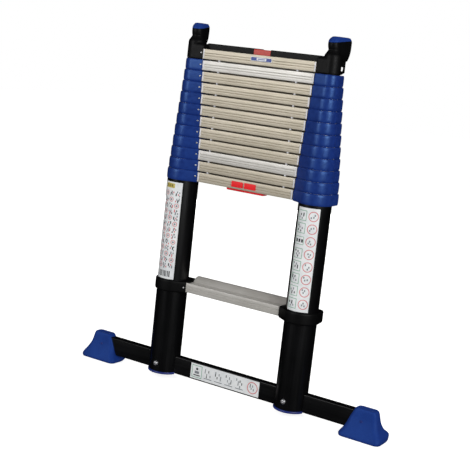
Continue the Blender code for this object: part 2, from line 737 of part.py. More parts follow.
def top_cover(parent, black, red):
    """The black cover on the top rung's ridge, and the red tab that sits in a notch in its middle."""
    under = inset(rung_profile(True), -FIT)
    end = rung_half_length(TOP_SECTION) - FIT
    back = RUNG_REAR - FIT
    profile = cover_profile(COVER_FRONT, back, COVER_TOP)
    cover = add("top_rung_cover", prism(profile, -end, end), parent, black)
    cut(cover, prism(under, -end - CUT_MARGIN, end + CUT_MARGIN))
    gap = TAB_HALF_WIDTH + FIT
    above = COVER_TOP + CUT_MARGIN
    bridge_front = RUNG_REAR - COVER_BRIDGE
    cut(cover, box((-gap, COVER_FRONT - CUT_MARGIN, 0.0), (gap, bridge_front, above)))
    bridge_top = COVER_TOP - TAB_DROP - FIT
    cut(cover, box((-gap, bridge_front - CUT_MARGIN, bridge_top), (gap, RUNG_REAR + CUT_MARGIN, above)))
    profile = cover_profile(COVER_FRONT - TAB_PROUD, bridge_front - FIT, COVER_TOP - TAB_DROP)
    tab = add("red_tab", prism(profile, -TAB_HALF_WIDTH, TAB_HALF_WIDTH), parent, red)
    cut(tab, prism(under, -gap, gap))


# The whole ladder


def front_reach():
    """The clamps reach furthest to the front, or else the bolt heads or the plugs' flanges do."""
    return BASE_TUBE_RADIUS + max(CLAMP_RING, FIT + BOLT_HEAD_HEIGHT, PLUG_FLANGE)


def rear_reach():
    """The wall pads reach furthest to the back, or else the bolts at the foot of the stiles do."""
    pad = PAD_WALL_END * math.cos(PAD_SPLAY)
    bolt = BASE_TUBE_RADIUS + FIT + NUT_THICKNESS + BOLT_END_BEYOND_NUT
    return max(pad, bolt)


def main():
    for obj in list(bpy.data.objects):
        bpy.data.objects.remove(obj)

    black = material("black_anodised_tube", (0.012, 0.012, 0.014), 0.32, 0.6)
    blue = material("blue_nylon", (0.013, 0.045, 0.27), 0.35)
    blue_rubber = material("blue_rubber", (0.018, 0.062, 0.33), 0.65)
    black_plastic = material("black_plastic", (0.010, 0.010, 0.011), 0.45)
    rung_metal = material("champagne_anodised_rung", (0.58, 0.54, 0.46), 0.38, 0.9)
    tube_metal = material("anodised_inner_tube", (0.60, 0.60, 0.60), 0.30, 0.95)
    red = material("red_plastic", (0.80, 0.025, 0.03), 0.40)
    steel = material("zinc_plated_steel", (0.62, 0.63, 0.65), 0.28, 1.0)
    sides = (-1, 1)

    base = empty("ladder_base", None, (0, (front_reach() - rear_reach()) / 2, 0))
    stabiliser_bar(base, black)
    for side in sides:
        base_tube(side, base, black)
        tube_plug(side, base, blue_rubber)
        stabiliser_bolt(side, base, steel)
        foot(side, base, blue_rubber)

    rung_frame = empty("rung_01_frame", base, (0, 0, rung_bottom(1)))
    rung(1, rung_frame, rung_metal)
    for side in sides:
        base_clamp(side, rung_frame, black_plastic)

    parent = empty("rung_02_frame", base, (0, 0, rung_bottom(BASE_SECTION)))
    lowest = rung(BASE_SECTION, parent, rung_metal)
    release_tray(parent, red)
    for side in sides:
        cut(lowest, button_box(side, FIT, -RUNG_FRONT - CUT_MARGIN, -RUNG_FRONT + 2 * RUNG_WALL))
        base_collar(side, parent, blue)
        release_unit(side, parent, red, steel)

    for section in range(BASE_SECTION + 1, TOP_SECTION + 1):
        parent = empty(f"section_{section:02d}", parent, (0, 0, STACK_PITCH))
        rung(section, parent, rung_metal)
        for side in sides:
            if section < TOP_SECTION:
                stile(section, side, parent, blue)
            else:
                top_tube(side, parent, tube_metal)
                top_cap(side, parent, black_plastic)
                wall_pad(side, parent, blue_rubber)
    top_cover(parent, black_plastic, red)


if __name__ == "__main__":
    main()
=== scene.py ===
"""A telescoping ladder of thirteen rungs: its visible pieces, finishes, light and camera.

The pieces are built in the frame of the stiles: the two stile axes stand at X = plus and minus half their
spacing, and at Y = 0. One function moves them into place. All lengths are in metres, unless a name says mm.
"""

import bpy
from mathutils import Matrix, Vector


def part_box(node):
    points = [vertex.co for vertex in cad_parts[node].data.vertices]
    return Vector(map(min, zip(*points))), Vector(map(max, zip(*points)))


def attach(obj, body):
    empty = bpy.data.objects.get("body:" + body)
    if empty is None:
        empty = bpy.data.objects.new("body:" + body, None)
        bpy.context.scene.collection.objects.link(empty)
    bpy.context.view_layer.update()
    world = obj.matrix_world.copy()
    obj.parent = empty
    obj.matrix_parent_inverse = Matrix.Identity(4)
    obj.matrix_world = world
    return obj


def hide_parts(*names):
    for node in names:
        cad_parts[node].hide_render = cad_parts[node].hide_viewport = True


bl_info = {
    "name": "Telescoping Ladder",
    "version": (1, 0, 0),
    "blender": (4, 5, 0),
    "location": "View3D > Sidebar > Ladder",
    "description": "Builds the pieces of a telescoping ladder with a stabiliser bar",
    "category": "Object",
}

import math

import bmesh
import bpy
from bpy.props import FloatProperty, PointerProperty, StringProperty
from mathutils import Matrix, Vector
from mathutils.geometry import convex_hull_2d

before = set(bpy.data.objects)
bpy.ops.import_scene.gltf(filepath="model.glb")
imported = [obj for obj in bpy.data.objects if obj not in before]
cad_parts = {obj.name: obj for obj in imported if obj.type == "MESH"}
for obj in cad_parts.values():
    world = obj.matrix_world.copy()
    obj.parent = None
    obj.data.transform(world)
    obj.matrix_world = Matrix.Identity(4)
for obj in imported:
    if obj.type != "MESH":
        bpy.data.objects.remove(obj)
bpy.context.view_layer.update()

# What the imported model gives
TUBE_LOW, TUBE_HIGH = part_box("base_tube_right")
AXIS_X = (TUBE_LOW.x + TUBE_HIGH.x) / 2
AXIS_Y = (TUBE_LOW.y + TUBE_HIGH.y) / 2
BASE_RADIUS = (TUBE_HIGH.x - TUBE_LOW.x) / 2
BAR_LOW, BAR_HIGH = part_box("stabiliser_bar")

# Tubes. Section 2 is the pair of base tubes, and each section above it slides in the one below.
BASE_SECTION, TOP_SECTION = 2, 13
SIDES = {"left": -1, "right": 1}
TUBE_STEP = 0.002  # by which each tube's radius is smaller than the last
TUBE_WALL = 0.0015
TUBE_EDGE = 0.0004
OPEN_PITCH = 0.300  # between two rungs with the ladder extended
LOCK_HOLE_RADIUS, LOCK_HOLE_HEIGHT = 0.0051, 0.011
FIT = 0.0003  # the play between pieces that touch
MARGIN = 0.010  # by which a cutting shape runs past what it cuts

# The rung's section, from the stile axis and from the rung's bottom edge
RUNG_FRONT, RUNG_REAR = 0.0187, 0.0480
FACE_HEIGHT, LIP_WIDTH = 0.0250, 0.0035
TREAD_HEIGHT, TREAD_BACK = 0.0226, 0.0150
RIDGE_HEIGHT, REAR_UNDERSIDE = 0.0370, 0.0125
RIDGE_SLOPE = ((0.007, 0.58), (0.015, 0.93))  # distance behind the tread, share of the ridge's rise
RIDGE_BACK = ((0.010, 0.0), (0.003, 0.0010), (0.0, 0.0040))  # distance before the rear, drop below the ridge
REAR_WEB, BOTTOM_BACK = 0.014, 0.002  # behind the tread's back edge
RUNG_END_INSET = 0.0146
RUNG_SKIRT, SKIRT_LOWER, SKIRT_UPPER = 0.0002, 0.0030, 0.0042  # the front face's drop, and where it ends
SPARE_POINTS = (0.002, 0.010)  # before the tread's back edge, in the bore's flat bottom
RUNG_WALL, RUNG_CORNER, CORNER_STEPS = 0.0016, 0.0010, 3
FACE_RIB_DEPTH, TREAD_RIB_DEPTH, RIB_MARGIN = 0.0012, 0.0008, 0.001
GROOVE_SLOPE, GROOVE_EDGE = 0.45, 0.0004
# Rungs drawn in a paler finish: a more silver tone, and on rung 1 also painted reflection that lightens its
# face
PALE_TONE_AND_SHEEN_RUNGS = (1, 4, 12)
TRIM_INNER, TRIM_OUTER = 0.0042, 0.0002  # a trim's two ends, from the end of its rung
TRIM_LOW, TRIM_HIGH, TRIM_PROUD, TRIM_SUNK, TRIM_EDGE = 0.0008, 0.0246, 0.0004, 0.0022, 0.0010
BUFFER_START, BUFFER_END, BUFFER_DROP, BUFFER_SUNK, BUFFER_EDGE = 0.1130, 0.1165, 0.0037, 0.0006, 0.0005
BUFFER_FRONT, BUFFER_BACK = 0.0003, 0.0060  # behind the rung's face

# Collars
COLLAR_RING, CLAMP_RING, CAP_RING = 0.0020, 0.0050, 0.0024
COLLAR_LOW, COLLAR_HIGH = -0.0020, 0.0264
CLAMP_LOW, CLAMP_HIGH = -0.0040, 0.0265
COLLAR_ROUNDING, CLAMP_ROUNDING = (0.0085, 0.0017), (0.0050, 0.0026)  # height and inset of the edges
COLLAR_LOBE, CLAMP_LOBE = 0.012, 0.016
LOBE_REACH, LOBE_SETBACK = 1.32, 0.012
BOSS_CORNER = 0.003
OUTLINE_STEP = 0.0025
CREASE_ANGLE, CREASE_DEPTH, CREASE_WIDTH = 6, 0.0006, 5  # angle and width in degrees
COLLAR_LIP, COLLAR_LIP_INSET = 0.0005, 0.0018  # the lip towards the collar below
COLLAR_LEDGE, TUBE_END_DROP = 0.0026, 0.0022  # below a collar's top
MOULDED_IN, BORE_CHAMFER = 0.0001, 0.0006
RIVET_INSET = 0.0062
RIVET_PROFILE = ((0.0024, -0.0006), (0.0024, 0.0001), (0.0021, 0.0005), (0.0013, 0.0009), (0.0004, 0.0010))
COLLAR_RIVET, CLAMP_RIVET, CAP_RIVET = 0.0135, 0.011, 0.015  # height above the rung's bottom

# The body of a top cap: height and inset, then its neck: share of the body's radius and height
CAP_LEVELS = (
    (-0.0020, 0.0014), (-0.0008, 0.0004), (0.0012, 0.0), (0.0310, 0.0), (0.0350, 0.0012), (0.0385, 0.0040),
)
CAP_NECK = ((0.985, 0.0100), (0.985, 0.0410), (0.93, 0.0455), (0.76, 0.0510), (0.60, 0.0580))
CAP_BORE_TOP = 0.032
CAP_LIP_LOW, CAP_LIP_HIGH, CAP_LIP_INSET = -0.0025, 0.0020, 0.0011

# The fin behind a cap and its strap hole, in the plane of the pad's direction
FIN_START, FIN_BEND, FIN_LOW, FIN_BACK_LOW, FIN_TOP = 0.012, 0.036, -0.0015, 0.0045, 0.045
FIN_HALF, FIN_CORNER, FIN_PAD_GAP = 0.0014, 0.002, 0.0005
STRAP_HOLE = ((0.0335, 0.0085), (0.0420, 0.0185))
STRAP_HOLE_CORNER = 0.0030

# The head of a top cap: height, front end, wall end, half width
HEAD_LEVELS = (
    (0.0330, 0.0240, 0.0497, 0.0085),
    (0.0450, 0.0040, 0.0530, 0.0130),
    (0.0570, -0.0130, 0.0550, 0.0148),
    (0.0720, -0.0175, 0.0553, 0.0152),
    (0.0820, -0.0145, 0.0548, 0.0146),
    (0.0900, -0.0040, 0.0485, 0.0115),
)
HEAD_STEPS = 5  # loops from one level to the next
HEAD_CROWN = ((1.0, -0.0010), (0.93, -0.0005), (0.80, -0.0001))  # share of the top outline, rise
PAD_SPLAY = math.radians(13)
PAD_REACH = 0.0558
PAD_FACE = 0.0060
PAD_SEAT = (0.0690, 0.0835)  # height of the rubber's underside in front and at the wall end
MELT_GRAIN, MELT_ROUNDS = 0.0010, 4
COVER_CORNER, COVER_HANG = 0.0030, 0.0026

# A foot: height, rise at the rear, reach in and out from the bar's end, rubber beyond the bar's sides
FOOT_LEVELS = (
    (0.0000, 0.000, 0.0760, 0.0365, 0.0235),
    (0.0060, 0.012, 0.0770, 0.0375, 0.0245),
    (0.0140, 0.010, 0.0725, 0.0350, 0.0215),
    (0.0280, 0.003, 0.0650, 0.0270, 0.0150),
    (0.0480, 0.000, 0.0590, 0.0190, 0.0075),
    (0.0700, 0.000, 0.0490, 0.0130, 0.0045),
    (0.0760, 0.000, 0.0440, 0.0090, 0.0025),
)
FOOT_STEPS = 5
FOOT_CORNER, FOOT_TUCK = 0.014, 0.0016
POCKET_DEPTH, FOOT_OUTER = 0.100, 0.060
SOLE_FLAT, SOLE_RISE = 0.012, 0.011  # behind the flat part the sole rises to the rear
SOLE_GROOVES, SOLE_GROOVE_START, SOLE_GROOVE_PITCH, SOLE_GROOVE_WIDTH = 11, 0.068, 0.0095, 0.0022
SOLE_GROOVE_FRONT, SOLE_GROOVE_BACK, SOLE_GROOVE_DEPTH = -0.029, 0.010, 0.0016
FOOT_SCREW_INSET, FOOT_SCREW_HEIGHT, FOOT_SCREW_REACH = 0.022, 0.046, 0.0083
FOOT_SCREW_PROFILE = ((0.0034, -0.002), (0.0034, 0.0004), (0.0028, 0.0010), (0.0012, 0.0012))

# Bar, plugs and bolts
BAR_CORNER, BAR_WALL = 0.0030, 0.0020
PLUG_SOLE = ((0.0022, 0.0), (0.0008, 0.0004), (0.0, 0.0016))  # inset, height
PLUG_SHOULDER = ((0.0, 0.0014), (0.0006, 0.0003), (0.0016, 0.0))  # inset, distance below the tube
BOLT_SIDES = 48
SOCKET_REACH, SOCKET_DEPTH = 0.0026, 0.0018
BOLT_RADIUS, BOLT_TIP = 0.0040, 0.0034
BOLT_DOME = ((0.0036, -0.0045), (0.0050, -0.0040), (0.0062, -0.0028), (0.0068, -0.0012), (0.0070, 0.0))
BOLT_END, BOLT_CHAMFER = 0.0080, 0.0006
NUT_REACH, NUT_CORNER = 0.0084, 0.0008
NUT_LEVELS = ((0.0, 0.97), (0.0005, 1.0), (0.0058, 1.0), (0.0065, 0.93))  # height, share of the reach

# Release unit
PIN_EDGE = 0.0006
PIN_NOSE = ((0.0, 0.0016), (0.0004, 0.0006), (0.0014, 0.0))  # inset, distance from the tip
BUTTON_GROOVE_MARGIN, BUTTON_GROOVE_PITCH, BUTTON_GROOVE_DEPTH = 0.004, 0.0036, 0.0007
BUTTON_ROUNDING = (0.0012, 0.0010)
TRAY_CORNER = 0.004
TRAY_LEVELS = ((0.0, 0.0020), (0.0006, 0.0008), (0.0018, 0.0))  # height, inset

# Labels: an ink's name, colour, shade and light, then the depths of film and ink
INKS = (
    ("grey", "#85898e", "#74787d", "#969a9f"), ("dark", "#23262c", "#1a1c21", "#30343b"),
    ("blue", "#263f92", "#1f3680", "#3049a0"), ("red", "#d8787a", "#cc6a6c", "#e28789"),
    ("green", "#7fb296", "#70a488", "#90c0a6"), ("yellow", "#c9b65a", "#baa74c", "#d6c46c"),
)
GREY, DARK, BLUE, RED, GREEN, YELLOW = (f"{ink[0]}_label_print" for ink in INKS)
FILM_BACK, FILM_FRONT, INK_BACK, INK_FRONT = 0.00005, 0.00022, 0.00018, 0.00034
SCATTER_STEPS = (0.7549, 0.5698)
BAR_LABEL_LEFT, BAR_LABEL_BOTTOM, BAR_LABEL_MM = -0.105, 0.024, (215, 42)
BADGE_LEFT, BADGE_RISE, BADGE_MM = -0.020, 0.0095, (61, 10)

# Stage: a light's name, place, width, height, power in watts, and whether glossy finishes mirror it
LIGHTS = (
    ("key_light", (2.9, -1.7, 1.5), 1.5, 1.9, 62, True),
    ("front_light", (-1.4, -2.8, 1.3), 1.1, 1.8, 32, True),
    ("back_light", (-1.8, 3.0, 0.7), 1.4, 1.8, 46, False),
    ("back_fill_light", (1.9, 2.9, 0.7), 1.0, 1.6, 16, False),
    ("top_light", (0.2, 0.6, 2.8), 1.6, 1.2, 7, False),
)
LIGHT_TARGET = (0, 0, 0.5)
ROOM_LIGHT, FLOOR_GLOW = 0.34, 0.76
FLOOR_LOW, FLOOR_HIGH, FLOOR_EDGE = (-9, -7, -0.02), (9, 12, -0.0005), 0.004
CAMERA_PLACE, CAMERA_LENS, SENSOR_WIDTH = (1.3670, -2.3191, 0.9091), 80.62, 36
CAMERA_TURN = (30.89, 10.02, 6.35)  # yaw, pitch and roll in degrees


# Shapes


def arc(centre, radius, start, end, steps):
    """Points along an arc, in degrees."""
    angles = [math.radians(start + (end - start) * i / steps) for i in range(steps + 1)]
    return [(centre[0] + radius * math.cos(a), centre[1] + radius * math.sin(a)) for a in angles]


def circle(radius, sides=96):
    return arc((0, 0), radius, 0, 360 - 360 / sides, sides - 1)


def hull(points):
    """The convex outline round the points, anticlockwise."""
    outline = [points[i] for i in convex_hull_2d(points)]
    area = sum(a[0] * b[1] - b[0] * a[1] for a, b in zip(outline, outline[1:] + outline[:1]))
    return outline if area > 0 else outline[::-1]


def rounded_rectangle(low, high, radius, steps=8):
    points = []
    for x, y, start in (
        (high[0] - radius, high[1] - radius, 0),
        (low[0] + radius, high[1] - radius, 90),
        (low[0] + radius, low[1] + radius, 180),
        (high[0] - radius, low[1] + radius, 270),
    ):
        points += arc((x, y), radius, start, start + 90, steps)
    return points


def offset(outline, distance):
    """A closed outline with each point moved along its normal: inwards for an anticlockwise one."""
    result = []
    for before, here, after in zip(outline[-1:] + outline[:-1], outline, outline[1:] + outline[:1]):
        along = (Vector(after) - Vector(before)).normalized()
        result.append((here[0] - along.y * distance, here[1] + along.x * distance))
    return result


def softened(outline, radius, steps=4):
    """A closed outline with its corners rounded by a curve that starts a radius away from each."""
    result = []
    for before, here, after in zip(outline[-1:] + outline[:-1], outline, outline[1:] + outline[:1]):
        here = Vector(here)
        back, ahead = Vector(before) - here, Vector(after) - here
        start = here + back * min(0.45, radius / back.length)
        end = here + ahead * min(0.45, radius / ahead.length)
        for i in range(steps + 1):
            t = i / steps
            point = start * (1 - t) ** 2 + here * (2 * t * (1 - t)) + end * t ** 2
            result.append((point.x, point.y))
    return result


def skin(loops, ring=False):
    """A closed surface through loops of equal length. A ring joins its last loop to its first."""
    bm = bmesh.new()
    rows = [[bm.verts.new(point) for point in loop] for loop in loops]
    pairs = list(zip(rows, rows[1:])) + ([(rows[-1], rows[0])] if ring else [])
    for low, high in pairs:
        count = len(low)
        for i in range(count):
            bm.faces.new((low[i], low[(i + 1) % count], high[(i + 1) % count], high[i]))
    if not ring:
        bm.faces.new(rows[0][::-1])
        bm.faces.new(rows[-1])
    bmesh.ops.recalc_face_normals(bm, faces=bm.faces)
    return bm


def at_height(outline, height):
    return [(x, y, height) for x, y in outline]


def inset_loops(outline, levels):
    """The outline at each (height, inset)."""
    return [at_height(offset(outline, inset) if inset else outline, height) for height, inset in levels]


def stacked(outline, levels):
    return skin(inset_loops(outline, levels))


def turned(profile, sides=96, ring=False):
    """A (radius, height) profile turned about Z."""
    return skin([at_height(circle(radius, sides), height) for radius, height in profile], ring)


def along_x(profile, start, end, bore=None):
    """A (y, z) profile along X, hollow where a bore of as many points is given."""
    def at(points, x):
        return [(x, y, z) for y, z in points]
    if bore is None:
        return skin([at(profile, start), at(profile, end)])
    return skin([at(profile, start), at(profile, end), at(bore, end), at(bore, start)], ring=True)


def block(low, high, edge=0.0, segments=3):
    """A box between two corners, with its edges rounded."""
    (x1, y1, z1), (x2, y2, z2) = low, high
    bm = along_x(((y1, z1), (y2, z1), (y2, z2), (y1, z2)), x1, x2)
    if edge:
        bmesh.ops.bevel(bm, geom=list(bm.edges), offset=edge, segments=segments, affect="EDGES", profile=0.5)
    return bm


def moved(bm, matrix):
    bmesh.ops.transform(bm, matrix=matrix, verts=bm.verts)
    return bm


def on_side(bm, side):
    """The same shape on the right (side 1) or mirrored to the left (side -1)."""
    if side < 0:
        bmesh.ops.scale(bm, vec=(-1, 1, 1), verts=bm.verts)
        bmesh.ops.reverse_faces(bm, faces=bm.faces)
    return bm


def at_stile(bm, side):
    return moved(on_side(bm, side), Matrix.Translation((side * AXIS_X, 0, 0)))


def raw_object(name, bm):
    mesh = bpy.data.meshes.new(name)
    bm.to_mesh(mesh)
    bm.free()
    obj = bpy.data.objects.new(name, mesh)
    bpy.context.scene.collection.objects.link(obj)
    return obj


def applied(obj):
    """The object's shape with its modifiers, as a bmesh. The object goes."""
    graph = bpy.context.evaluated_depsgraph_get()
    bm = bmesh.new()
    bm.from_mesh(obj.evaluated_get(graph).to_mesh())
    mesh = obj.data
    bpy.data.objects.remove(obj)
    bpy.data.meshes.remove(mesh)
    return bm


def combined(bm, other, operation="DIFFERENCE"):
    """Two closed shapes combined into one."""
    obj, tool = raw_object("shape", bm), raw_object("tool", other)
    modifier = obj.modifiers.new("combine", "BOOLEAN")
    modifier.operation, modifier.solver, modifier.object = operation, "EXACT", tool
    result = applied(obj)
    bpy.data.objects.remove(tool)
    if not result.faces:
        raise RuntimeError("a combined shape came out empty")
    return result


def add_shape(bm, other):
    """Adds a shape that stands apart to one that has begun."""
    mesh = bpy.data.meshes.new("part")
    other.to_mesh(mesh)
    other.free()
    bm.from_mesh(mesh)
    bpy.data.meshes.remove(mesh)


def melted(bm, grain, rounds):
    """A shape with its inner and outer corners flowed together, as a moulding's fillets are."""
    obj = raw_object("shape", bm)
    remesh = obj.modifiers.new("remesh", "REMESH")
    remesh.mode, remesh.voxel_size = "VOXEL", grain
    smooth = obj.modifiers.new("smooth", "SMOOTH")
    smooth.factor, smooth.iterations = 0.5, rounds
    return applied(obj)


def piece(name, bm, finish, body, slot, *nodes, sharp=32):
    """A finished piece: placed, shaded, and riding on its body in place of its CAD nodes."""
    bmesh.ops.remove_doubles(bm, verts=bm.verts, dist=1e-6)
    obj = raw_object(name, moved(bm, Matrix.Translation((0, AXIS_Y, 0))))
    obj.data.polygons.foreach_set("use_smooth", [True] * len(obj.data.polygons))
    obj.data.set_sharp_from_angle(angle=math.radians(sharp))
    obj.data.materials.append(bpy.data.materials[finish])
    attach(obj, body)
    if nodes:
        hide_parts(*nodes)
    return obj


# Places


def tube_radius(section):
    return BASE_RADIUS - TUBE_STEP * (section - BASE_SECTION)


def rung_bottom(section):
    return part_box(f"rung_{section:02d}")[0].z


def rung_end(section):
    """Half the length of a rung."""
    return AXIS_X - tube_radius(max(section, BASE_SECTION)) - RUNG_END_INSET


def body_of(section):
    return f"section_{section:02d}" if section > BASE_SECTION else "base"


def raised(bm, height):
    return moved(bm, Matrix.Translation((0, 0, height)))


# Finishes


def linear(value):
    """A sRGB hex colour as linear red, green, blue and alpha."""
    parts = [int(value[i:i + 2], 16) / 255 for i in (1, 3, 5)]
    return tuple(c / 12.92 if c <= 0.04045 else ((c + 0.055) / 1.055) ** 2.4 for c in parts) + (1.0,)


def add_node(tree, kind, settings=(), links=()):
    """One node: its settings are attributes or input values, and its links are (input, source socket)."""
    node = tree.nodes.new(kind)
    for key, value in dict(settings).items():
        if isinstance(key, str) and hasattr(node, key):
            setattr(node, key, value)
        else:
            node.inputs[key].default_value = value
    for key, source in links:
        tree.links.new(source, node.inputs[key])
    return node


def surface(name, colour, shade, light, grain_mm, rough, bump_mm=0.02, metallic=0.0, stretch=(1, 1, 1),
            detail=4.0, coat=0.0, specular=0.5, blotch_mm=60.0, grit_mm=0.0, tint="#ffffff"):
    """A finish whose colour and gloss drift slowly, and whose grain is pulled along one direction or none.

    rough holds the lowest and highest roughness. grit_mm adds the fine dimples of a moulded texture, and
    tint colours the reflections.
    """
    mat = bpy.data.materials.new(name)
    mat.use_nodes = True
    mat.diffuse_color = linear(colour)
    tree = mat.node_tree
    shader = tree.nodes["Principled BSDF"]
    shader.inputs["Metallic"].default_value = metallic
    shader.inputs["Coat Weight"].default_value = coat
    shader.inputs["Coat Roughness"].default_value = 0.12
    shader.inputs["Specular IOR Level"].default_value = specular
    shader.inputs["Specular Tint"].default_value = linear(tint)
    place = add_node(tree, "ShaderNodeTexCoord").outputs["Object"]
    scale = [1000 / grain_mm * s for s in stretch]
    grain_place = add_node(tree, "ShaderNodeMapping", {"Scale": scale}, [("Vector", place)])
    grain = add_node(tree, "ShaderNodeTexNoise", {"Scale": 1.0, "Detail": detail, "Roughness": 0.6},
                     [("Vector", grain_place.outputs[0])])
    blotch = add_node(tree, "ShaderNodeTexNoise", {"Scale": 1000 / blotch_mm, "Detail": 2.0},
                      [("Vector", place)])
    both = add_node(tree, "ShaderNodeMath", {"operation": "ADD"},
                    [(0, grain.outputs["Fac"]), (1, blotch.outputs["Fac"])])
    ramp = add_node(tree, "ShaderNodeMapRange", {"From Min": 0.65, "From Max": 1.35}, [(0, both.outputs[0])])
    colours = add_node(tree, "ShaderNodeValToRGB", (), [(0, ramp.outputs[0])])
    stops = colours.color_ramp.elements
    stops[0].color, stops[1].color = linear(shade), linear(light)
    stops.new(0.5).color = linear(colour)
    tree.links.new(colours.outputs[0], shader.inputs["Base Color"])
    gloss = add_node(tree, "ShaderNodeMapRange",
                     {"From Min": 0.3, "From Max": 0.7, "To Min": rough[0], "To Max": rough[1]},
                     [(0, grain.outputs["Fac"])])
    tree.links.new(gloss.outputs[0], shader.inputs["Roughness"])
    height = grain.outputs["Fac"]
    if grit_mm:
        grit = add_node(tree, "ShaderNodeTexVoronoi", {"Scale": 1000 / grit_mm}, [("Vector", place)])
        height = add_node(tree, "ShaderNodeMath", {"operation": "ADD"},
                          [(0, height), (1, grit.outputs["Distance"])]).outputs[0]
    bump = add_node(tree, "ShaderNodeBump", {"Strength": 0.6, "Distance": bump_mm / 1000},
                    [("Height", height)])
    tree.links.new(bump.outputs[0], shader.inputs["Normal"])
    return mat


def make_finishes(c):
    # Black anodised aluminium, drawn through a die: satin, with faint lines along the tube
    surface("black_anodised_tube", c.tube_black, "#08080a", "#131316", 2.2, (0.30, 0.42), 0.010,
            metallic=0.35, stretch=(1, 1, 0.012), coat=0.10)
    surface("black_anodised_bar", c.tube_black, "#08080a", "#131316", 2.2, (0.32, 0.45), 0.010,
            metallic=0.35, stretch=(0.012, 1, 1), coat=0.06)
    # Glass-filled nylon, moulded in black: a fine grit that breaks the highlights up
    surface("black_moulded_nylon", c.nylon_black, "#060607", "#0d0d0f", 3.0, (0.42, 0.54), 0.03, grit_mm=1.2,
            specular=0.18)
    # Gloss nylon, moulded in blue: smooth and bright, and only faintly uneven in colour
    surface("blue_gloss_nylon", c.collar_blue, "#13296c", "#193684", 9.0, (0.33, 0.42), 0.015,
            detail=1.0, blotch_mm=200.0, specular=1.0, tint="#86b6f2")
    # Moulded rubber in blue: matte, with a soft bloom and a fine pebbled skin
    surface("blue_moulded_rubber", c.rubber_blue, "#163078", "#1e3e8c", 4.0, (0.46, 0.60), 0.05, grit_mm=1.6,
            specular=0.4, tint="#7fb0ee")
    surface("dark_blue_moulded_plastic", "#1a2c78", "#142261", "#22388c", 4.0, (0.34, 0.46), 0.03)
    # Champagne anodised aluminium, extruded: a soft metal sheen with lines along the rung
    surface("champagne_anodised_rung", c.rung_champagne, "#b7ae9b", "#c8bfae", 1.0, (0.36, 0.50), 0.010,
            metallic=0.42, stretch=(0.004, 1, 1))
    # A paler, more silver copy of the rung finish for rungs 1, 4 and 12; on rung 1 its lighter colour is also
    # painted reflection
    surface("pale_tone_and_sheen_rung", "#cdcac4", "#c4c1ba", "#d6d3ce", 1.0, (0.32, 0.45), 0.010,
            metallic=0.35, stretch=(0.004, 1, 1))
    # Clear anodised aluminium, drawn: the sliding tubes, with wear lines along the way they slide
    surface("satin_anodised_tube", "#c8cacc", "#b3b5b8", "#dcdedf", 1.8, (0.26, 0.40), 0.012,
            metallic=0.6, stretch=(1, 1, 0.01))
    # ABS, moulded in red: a bright satin
    surface("red_moulded_abs", c.release_red, "#e01e24", "#ff3a3e", 5.0, (0.36, 0.46), 0.02, specular=0.2)
    surface("dull_red_moulded_abs", "#c23a31", "#a52f26", "#d0493f", 5.0, (0.36, 0.48), 0.02)
    # Zinc plate on steel: cool, bright and a little cloudy
    surface("zinc_plated_steel", "#eef0f2", "#d8dbde", "#fafbfc", 2.5, (0.22, 0.38), 0.015, metallic=0.3)
    # Pale nylon for the buffers
    surface("pale_moulded_nylon", "#dcdbe0", "#cfced4", "#e8e7ec", 3.0, (0.38, 0.50), 0.02)
    # Printed vinyl: a smooth film with the slight ripple of a stuck label
    surface("white_vinyl_label", "#eceeef", "#dfe2e4", "#f7f8f8", 12.0, (0.30, 0.40), 0.02, detail=2.0)
    for ink, colour, shade, light in INKS:
        surface(f"{ink}_label_print", colour, shade, light, 6.0, (0.34, 0.44), 0.005)
    # Painted studio floor: near white, with hardly any grain
    floor = surface("pale_studio_floor", c.floor, "#f3f3f2", "#fbfbfa", 40.0, (0.55, 0.65), 0.01, detail=2.0,
                    specular=0.0)
    glow = floor.node_tree.nodes["Principled BSDF"]
    glow.inputs["Emission Color"].default_value = linear(c.floor)
    glow.inputs["Emission Strength"].default_value = FLOOR_GLOW


# Stiles


def base_tube(side_name, side):
    """A black tube, with a slot at its foot for the stabiliser bar."""
    node = f"base_tube_{side_name}"
    low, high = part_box(node)
    inner, edge = BASE_RADIUS - TUBE_WALL, TUBE_EDGE
    profile = ((BASE_RADIUS, low.z + edge), (BASE_RADIUS, high.z - edge), (BASE_RADIUS - edge, high.z),
               (inner + edge, high.z), (inner, high.z - edge), (inner, low.z + edge),
               (inner + edge, low.z), (BASE_RADIUS - edge, low.z))
    shape = combined(at_stile(turned(profile, ring=True), side), bar_space())
    piece(f"{node}_shell", shape, "black_anodised_tube", "base", "black_anodised_aluminium", node)


def sliding_tube(section, side_name, side):
    """A sliding tube with the lock hole near its foot."""
    node = f"tube_{section}_{side_name}" if section == TOP_SECTION else f"stile_{section:02d}_{side_name}"
    low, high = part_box(node)
    outer = tube_radius(section)
    inner = outer - TUBE_WALL
    top = high.z if section == TOP_SECTION else rung_bottom(section) + COLLAR_HIGH - TUBE_END_DROP
    edge = TUBE_EDGE
    profile = ((outer, low.z + edge), (outer, top), (inner, top), (inner, low.z + edge),
               (inner + edge, low.z), (outer - edge, low.z))
    shape = turned(profile, ring=True)
    hole = turned(((LOCK_HOLE_RADIUS, 0), (LOCK_HOLE_RADIUS, outer + MARGIN)), 32)
    hole = moved(hole, Matrix.Rotation(-math.pi / 2, 4, "Y"))
    height = rung_bottom(section) + LOCK_HOLE_HEIGHT - OPEN_PITCH
    shape = combined(shape, raised(hole, height))
    piece(f"sliding_tube_{section:02d}_{side_name}", at_stile(shape, side), "satin_anodised_tube",
          body_of(section), "satin_aluminium", node)


# Collars


def boss_corners(section):
    """The rounded corners of a collar's boss, where the rung meets it."""
    x = BOSS_CORNER - (tube_radius(section) + RUNG_END_INSET - FIT)
    return (arc((x, RUNG_REAR - BOSS_CORNER), BOSS_CORNER, 90, 180, 6)
            + arc((x, BOSS_CORNER - RUNG_FRONT), BOSS_CORNER, 180, 270, 6))


